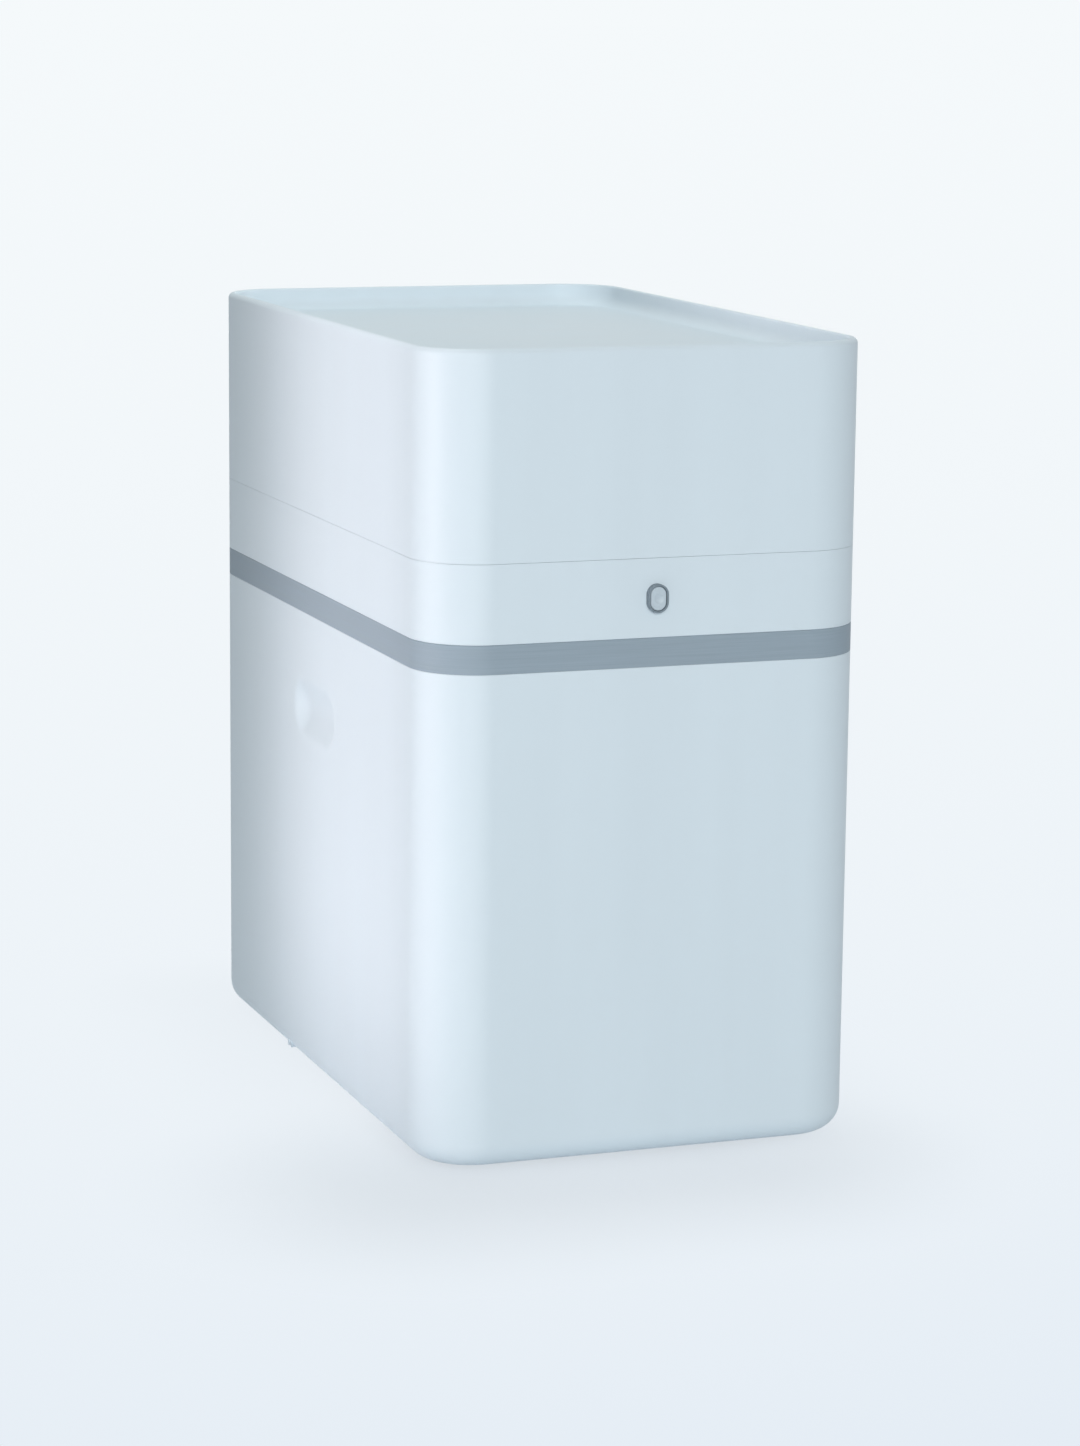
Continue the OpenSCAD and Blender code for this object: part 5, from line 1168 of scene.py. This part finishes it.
class SOFTENER_OT_ports(bpy.types.Operator):
    """Builds the threaded pipe stubs, their nuts, the glands, and the barbed drain and overflow
    spigots"""

    bl_idname = "softener.ports"
    bl_label = "Ports"

    def execute(self, context):
        f = context.scene.softener_fitting
        low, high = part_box("port_block")
        nuts = islands("port_nuts")
        z = (nuts[0][0][2] + nuts[0][1][2]) / 2
        xs = [(a[0] + b[0]) / 2 for a, b in nuts]
        rear_in = REAR_Y - context.scene.softener_casing.wall
        body = block((high.x - low.x, high.z - low.z, rear_in - low.y), 3 * MM, 1.5 * MM)
        shapes = [placed(body, REARWARD, (0, (low.y + rear_in) / 2, z))]
        shapes += [placed(self.stub(f, high.y - rear_in), REARWARD, (x, rear_in, z)) for x in xs]
        build("port_body", shapes, "head_dark", "root", "port_block")
        rings = []
        for x, (a, b) in zip(xs, nuts):
            nut = hex_nut(2 * f.nut * HEXAGON, f.nut_bore, a[1] - REAR_Y, b[1] - REAR_Y)
            rings.append(placed(nut, REARWARD, (x, REAR_Y, z)))
        build("port_nut_pair", rings, "brass", "root", "port_nuts", sharp=25)
        self.glands(f)
        self.drain(f)
        self.overflow()
        return {"FINISHED"}

    def stub(self, f, reach):
        """Pipe stub along +Z: a bore, a chamfered mouth, a thread and a plain shank."""
        r, bore, sides, edge = f.stub, f.stub_bore, 72, 0.2 * MM
        mouth, run_in, shank = reach - 0.9 * MM, 12.4 * MM, r - 0.4 * MM
        inside = rounded([
            (bore, -20 * MM, 0), (bore, reach - MM, 0), (bore + MM, reach, edge),
            (r - 1.4 * MM, reach, edge), (r - 0.9 * MM, reach - 0.8 * MM, 0),
        ])
        thread = threaded(r, 1.1 * MM, f.stub_pitch, run_in, mouth, sides)[::-1]
        plain = turned(np.array([(shank, run_in - 0.6 * MM), (shank, -MM)]), sides)
        return skin(np.concatenate([turned(inside, sides), thread, plain]), first=True, last=True)

    def glands(self, f):
        """Gland rings around the stopcocks' stems, with a bevelled rim and a sunk hole."""
        r, hole, edge = f.gland, f.gland_bore, 0.2 * MM
        foot, top, sunk = -4 * MM, 1.5 * MM, 0.5 * MM
        one = lathe([
            (TIP, foot, 0), (r, foot, 0), (r, 0.4 * MM, 0.1 * MM), (r - 1.1 * MM, top, edge),
            (hole, top, edge), (hole, sunk, 0), (TIP, sunk, 0),
        ], 48)
        rings = []
        for a, b in islands("plug_glands"):
            rings.append(placed(one, LEVEL, ((a[0] + b[0]) / 2, (a[1] + b[1]) / 2, b[2])))
        build("gland_rings", rings, "brass", "root", "plug_glands")

    def barbs(self, r, root, bore, start, foot, reach, count=3):
        """Barbed tail from foot to reach: each barb rises in a cone and falls off sharply, like a
        saw, and a bore runs through from start."""
        tip, edge = reach - 1.2 * MM, 0.05 * MM
        rows = [(bore, start, 0), (bore, reach, 0.3 * MM), (root, reach, 0.4 * MM)]
        step = (tip - foot) / count
        for k in range(count):
            top = tip - k * step
            rows += [
                (root, top, edge), (r, top - 0.8 * step, 2 * edge), (root, top - 0.86 * step, edge),
            ]
        return rows

    def drain(self, f):
        """Drain spigot: a hexagon and a barbed tail."""
        low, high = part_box("drain_spigot")
        place, root, shank = (0, REAR_Y, (low.z + high.z) / 2), f.drain_root, 7 * MM
        tail = lathe([
            *self.barbs(f.drain, root, f.drain_bore, -10 * MM, 8 * MM, high.y - REAR_Y),
            (root, 5 * MM, 0), (shank, 0, 0), (shank, -4 * MM, 0),
        ], 48)
        nut = hex_nut(2 * f.drain_hex * HEXAGON, 6 * MM, 0, 6 * MM)
        shapes = [placed(tail, REARWARD, place), placed(nut, REARWARD, place)]
        build("drain_tail", shapes, "head_dark", "root", "drain_spigot", sharp=25)

    def overflow(self):
        """Overflow spigot: a flange and a barbed tail, and its nut."""
        low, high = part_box("overflow_spigot")
        x, z, flange = (low.x + high.x) / 2, (low.z + high.z) / 2, (high.x - low.x) / 2
        seat, reach, shoulder = low.y - REAR_Y, high.y - REAR_Y, 8.5 * MM
        r, rim = flange - 7 * MM, seat + 4 * MM
        root, shank = r - 1.1 * MM, r + 0.8 * MM
        tail = lathe([
            *self.barbs(r, root, r - 2.4 * MM, seat, 10 * MM, reach), (root, shoulder, 0),
            (shank, shoulder, 0.3 * MM), (shank, rim, 0), (flange, rim, 0.5 * MM),
            (flange, seat, 0),
        ], 64, loop=True)
        tail = placed(tail, REARWARD, (x, REAR_Y, z))
        build("overflow_tail", [tail], "head_dark", "root", "overflow_spigot", sharp=25)
        low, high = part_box("overflow_nut")
        wide = high.x - low.x
        across = wide * HEXAGON if wide > high.z - low.z else wide
        nut = placed(hex_nut(across, r + MM, 0, high.y - low.y), REARWARD, (x, low.y, z))
        build("overflow_ring_nut", [nut], "head_dark", "root", "overflow_nut", sharp=25)


class SOFTENER_OT_head_cover(bpy.types.Operator):
    """Builds the control head's cover, a shell with a rounded top edge, screw ears and a marked
    dial"""

    bl_idname = "softener.head_cover"
    bl_label = "Head cover"

    def execute(self, context):
        f = context.scene.softener_fitting
        low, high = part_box("head_cover")
        hub = np.array([c[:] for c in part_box("index_knob")]).mean(0)[:2]
        points = node_points("head_cover")
        top = points[points[:, 2] > high.z - 0.1 * MM, :2]
        hole = float(np.linalg.norm(top - hub, axis=1).min())
        ear = lathe([
            (f.ear_hole, 0, 0.1 * MM), (f.ear, 0, 0.1 * MM), (f.ear, f.ear_t, 1.2 * MM),
            (f.ear_hole, f.ear_t, 0.2 * MM),
        ], 48, loop=True)
        shapes = [self.shell(f, hub, hole, top.min(0), top.max(0), low.z, high.z)]
        for a, b in islands("cover_screws"):
            shapes.append(placed(ear, LEVEL, (*((a + b) / 2)[:2], low.z)))
        build("cover_shell", shapes, "cover_pale", "root", "head_cover")
        build("dial_marks", self.marks(f, hub, high.z + f.dial_t), "cap_grey", "root")
        return {"FINISHED"}

    def shell(self, f, hub, hole, first, last, low, top):
        """Rings about the knob's shaft, a hole and a raised dial, then a run out to the rounded
        rectangle of the sides, whose profile goes over the top edge, down, round the lower edge and
        back under the ceiling."""
        wall, fillet, ceiling, face = f.cover, f.cover_edge, top - f.cover, top + f.dial_t
        edge, slope, lip = 0.2 * MM, 0.4 * MM, 0.4 * MM
        flat = np.linspace(0, 1, 8)[1:-1]
        path, normals = outline(*(last - first), f.cover_corner, 12, flat, flat)
        path = path + (first + last) / 2
        dial = rounded([
            (hole, ceiling, 0), (hole, top, lip), (f.dial_in - slope, top, edge),
            (f.dial_in, face, edge), (f.dial, face, edge), (f.dial + slope, top, edge),
            (f.dial + slope + MM, top, 0),
        ], steps=3)
        x, y = (path - hub).T
        rings = polar(dial[:, :1], np.arctan2(y, x), dial[:, 1:]) + np.array([*hub, 0])
        side = rounded([
            (1.3 * fillet, top, 0), (0, top, fillet), (0, low, lip), (wall, low, lip),
            (wall, ceiling, 2 * MM), (2 * fillet, ceiling, 0),
        ], steps=8)
        return skin(np.concatenate([rings, swept((path, normals), side)]), loop=True)

    def marks(self, f, hub, face):
        """Twelve raised bars on the dial, one in three of them longer."""
        shapes = []
        for k in range(12):
            run = (3.6 if k % 3 == 0 else 2.2) * MM
            a = k * np.pi / 6
            out, across = (np.cos(a), np.sin(a), 0), (-np.sin(a), np.cos(a), 0)
            bar = block((run, 0.9 * MM, f.dial_t), 0.3 * MM, 0.12 * MM)
            middle = hub + (f.dial - 0.4 * MM - run / 2) * np.array(out[:2])
            shapes.append(placed(bar, [out, across, (0, 0, 1)], (*middle, face)))
        return shapes


class SOFTENER_OT_cap_grip(bpy.types.Operator):
    """Builds the ribbed grip around the skirt of the brine well's cap"""

    bl_idname = "softener.cap_grip"
    bl_label = "Cap grip"

    def execute(self, context):
        """The grip's radius swells by (1/2 + 1/2 cos(ribs times the angle)) squared, and fades at
        both ends.

        A row is how far the grip stands off the skirt, its height, and how far its ribs stand up,
        in mm.
        """
        low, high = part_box("brine_well_cap")
        ribs, per_rib = 44, 10
        angle = around(ribs * per_rib)
        rib = (0.5 + 0.5 * np.cos(ribs * angle)) ** 2
        rows = MM * np.array([
            (-0.4, 1.0, 0), (0.1, 1.0, 0), (0.25, 1.0, 0.1), (0.25, 1.6, 0.6), (0.25, 2.4, 0.75),
            (0.25, 12.2, 0.75), (0.25, 13.0, 0.6), (0.25, 13.6, 0.1), (0.1, 13.6, 0),
            (-0.4, 13.6, 0),
        ])
        foot = high.z - context.scene.softener_fitting.cap_skirt
        radius = (high.x - low.x) / 2 + rows[:, :1] + rows[:, 2:] * rib
        grid = polar(radius, angle, foot + rows[:, 1:2])
        grip = placed(skin(grid, loop=True), LEVEL, ((low.x + high.x) / 2, (low.y + high.y) / 2, 0))
        build("cap_grip", [grip], "cap_grey", "root")
        return {"FINISHED"}


class SOFTENER_OT_latch_spring(bpy.types.Operator):
    """Winds the latch spring"""

    bl_idname = "softener.latch_spring"
    bl_label = "Latch spring"

    def execute(self, context):
        """A ring of wire carried along a helix about Y: out is its distance from the axis."""
        low, high = (np.array(c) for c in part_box("latch_spring"))
        wire, turns, per_turn, sides = context.scene.softener_fitting.wire, 4.5, 36, 12
        r = (high[0] - low[0]) / 2 - wire
        a = np.linspace(0, 2 * np.pi * turns, int(turns * per_turn) + 1)[:, None]
        b = around(sides)[None]
        y = low[1] + wire + (high[1] - low[1] - 2 * wire) * a / a.max()
        out = r + wire * np.cos(b)
        grid = np.stack([out * np.cos(a), y + wire * np.sin(b), out * np.sin(a)], -1)
        grid = grid + np.array([(low[0] + high[0]) / 2, 0, (low[2] + high[2]) / 2])
        wound = skin(grid, first=True, last=True)
        coil = build("latch_coil", [wound], "steel", "root", "latch_spring")
        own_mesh(coil)
        return {"FINISHED"}


class SOFTENER_OT_inner_finishes(bpy.types.Operator):
    """Gives every node of the frame the finish of its material slot"""

    bl_idname = "softener.inner_finishes"
    bl_label = "Inner finishes"

    def execute(self, context):
        made = finishes()
        slots = {p["node"]: p["material_slot"] for p in frame["record"]["subparts"]}
        for name, node in frame["nodes"].items():
            node.data.materials.clear()
            node.data.materials.append(made[slots[name]])
        return {"FINISHED"}


class SOFTENER_PT_panel(bpy.types.Panel):
    """Lists the pieces and the settings in the 3D view's sidebar"""

    bl_idname = "SOFTENER_PT_panel"
    bl_label = "Softener"
    bl_space_type = "VIEW_3D"
    bl_region_type = "UI"
    bl_category = "Softener"

    def draw(self, context):
        for operator in OPERATORS:
            self.layout.operator(operator.bl_idname)
        for name, group in SETTINGS.items():
            box = self.layout.box()
            box.label(text=group.__doc__)
            for key in group.__annotations__:
                box.prop(getattr(context.scene, name), key)


OPERATORS = (
    SOFTENER_OT_stage,
    SOFTENER_OT_inner_finishes,
    SOFTENER_OT_cabinet,
    SOFTENER_OT_band,
    SOFTENER_OT_collar,
    SOFTENER_OT_hood,
    SOFTENER_OT_button,
    SOFTENER_OT_feet,
    SOFTENER_OT_screws,
    SOFTENER_OT_hinges,
    SOFTENER_OT_ports,
    SOFTENER_OT_head_cover,
    SOFTENER_OT_cap_grip,
    SOFTENER_OT_latch_spring,
)


def register():
    for cls in (*SETTINGS.values(), *OPERATORS, SOFTENER_PT_panel):
        bpy.utils.register_class(cls)
    for name, group in SETTINGS.items():
        setattr(bpy.types.Scene, name, PointerProperty(type=group))


def unregister():
    for name in SETTINGS:
        delattr(bpy.types.Scene, name)
    for cls in (SOFTENER_PT_panel, *reversed(OPERATORS), *SETTINGS.values()):
        bpy.utils.unregister_class(cls)


def main():
    register()
    for operator in OPERATORS:
        group, name = operator.bl_idname.split(".")
        getattr(getattr(bpy.ops, group), name)()


if __name__ == "__main__":
    main()
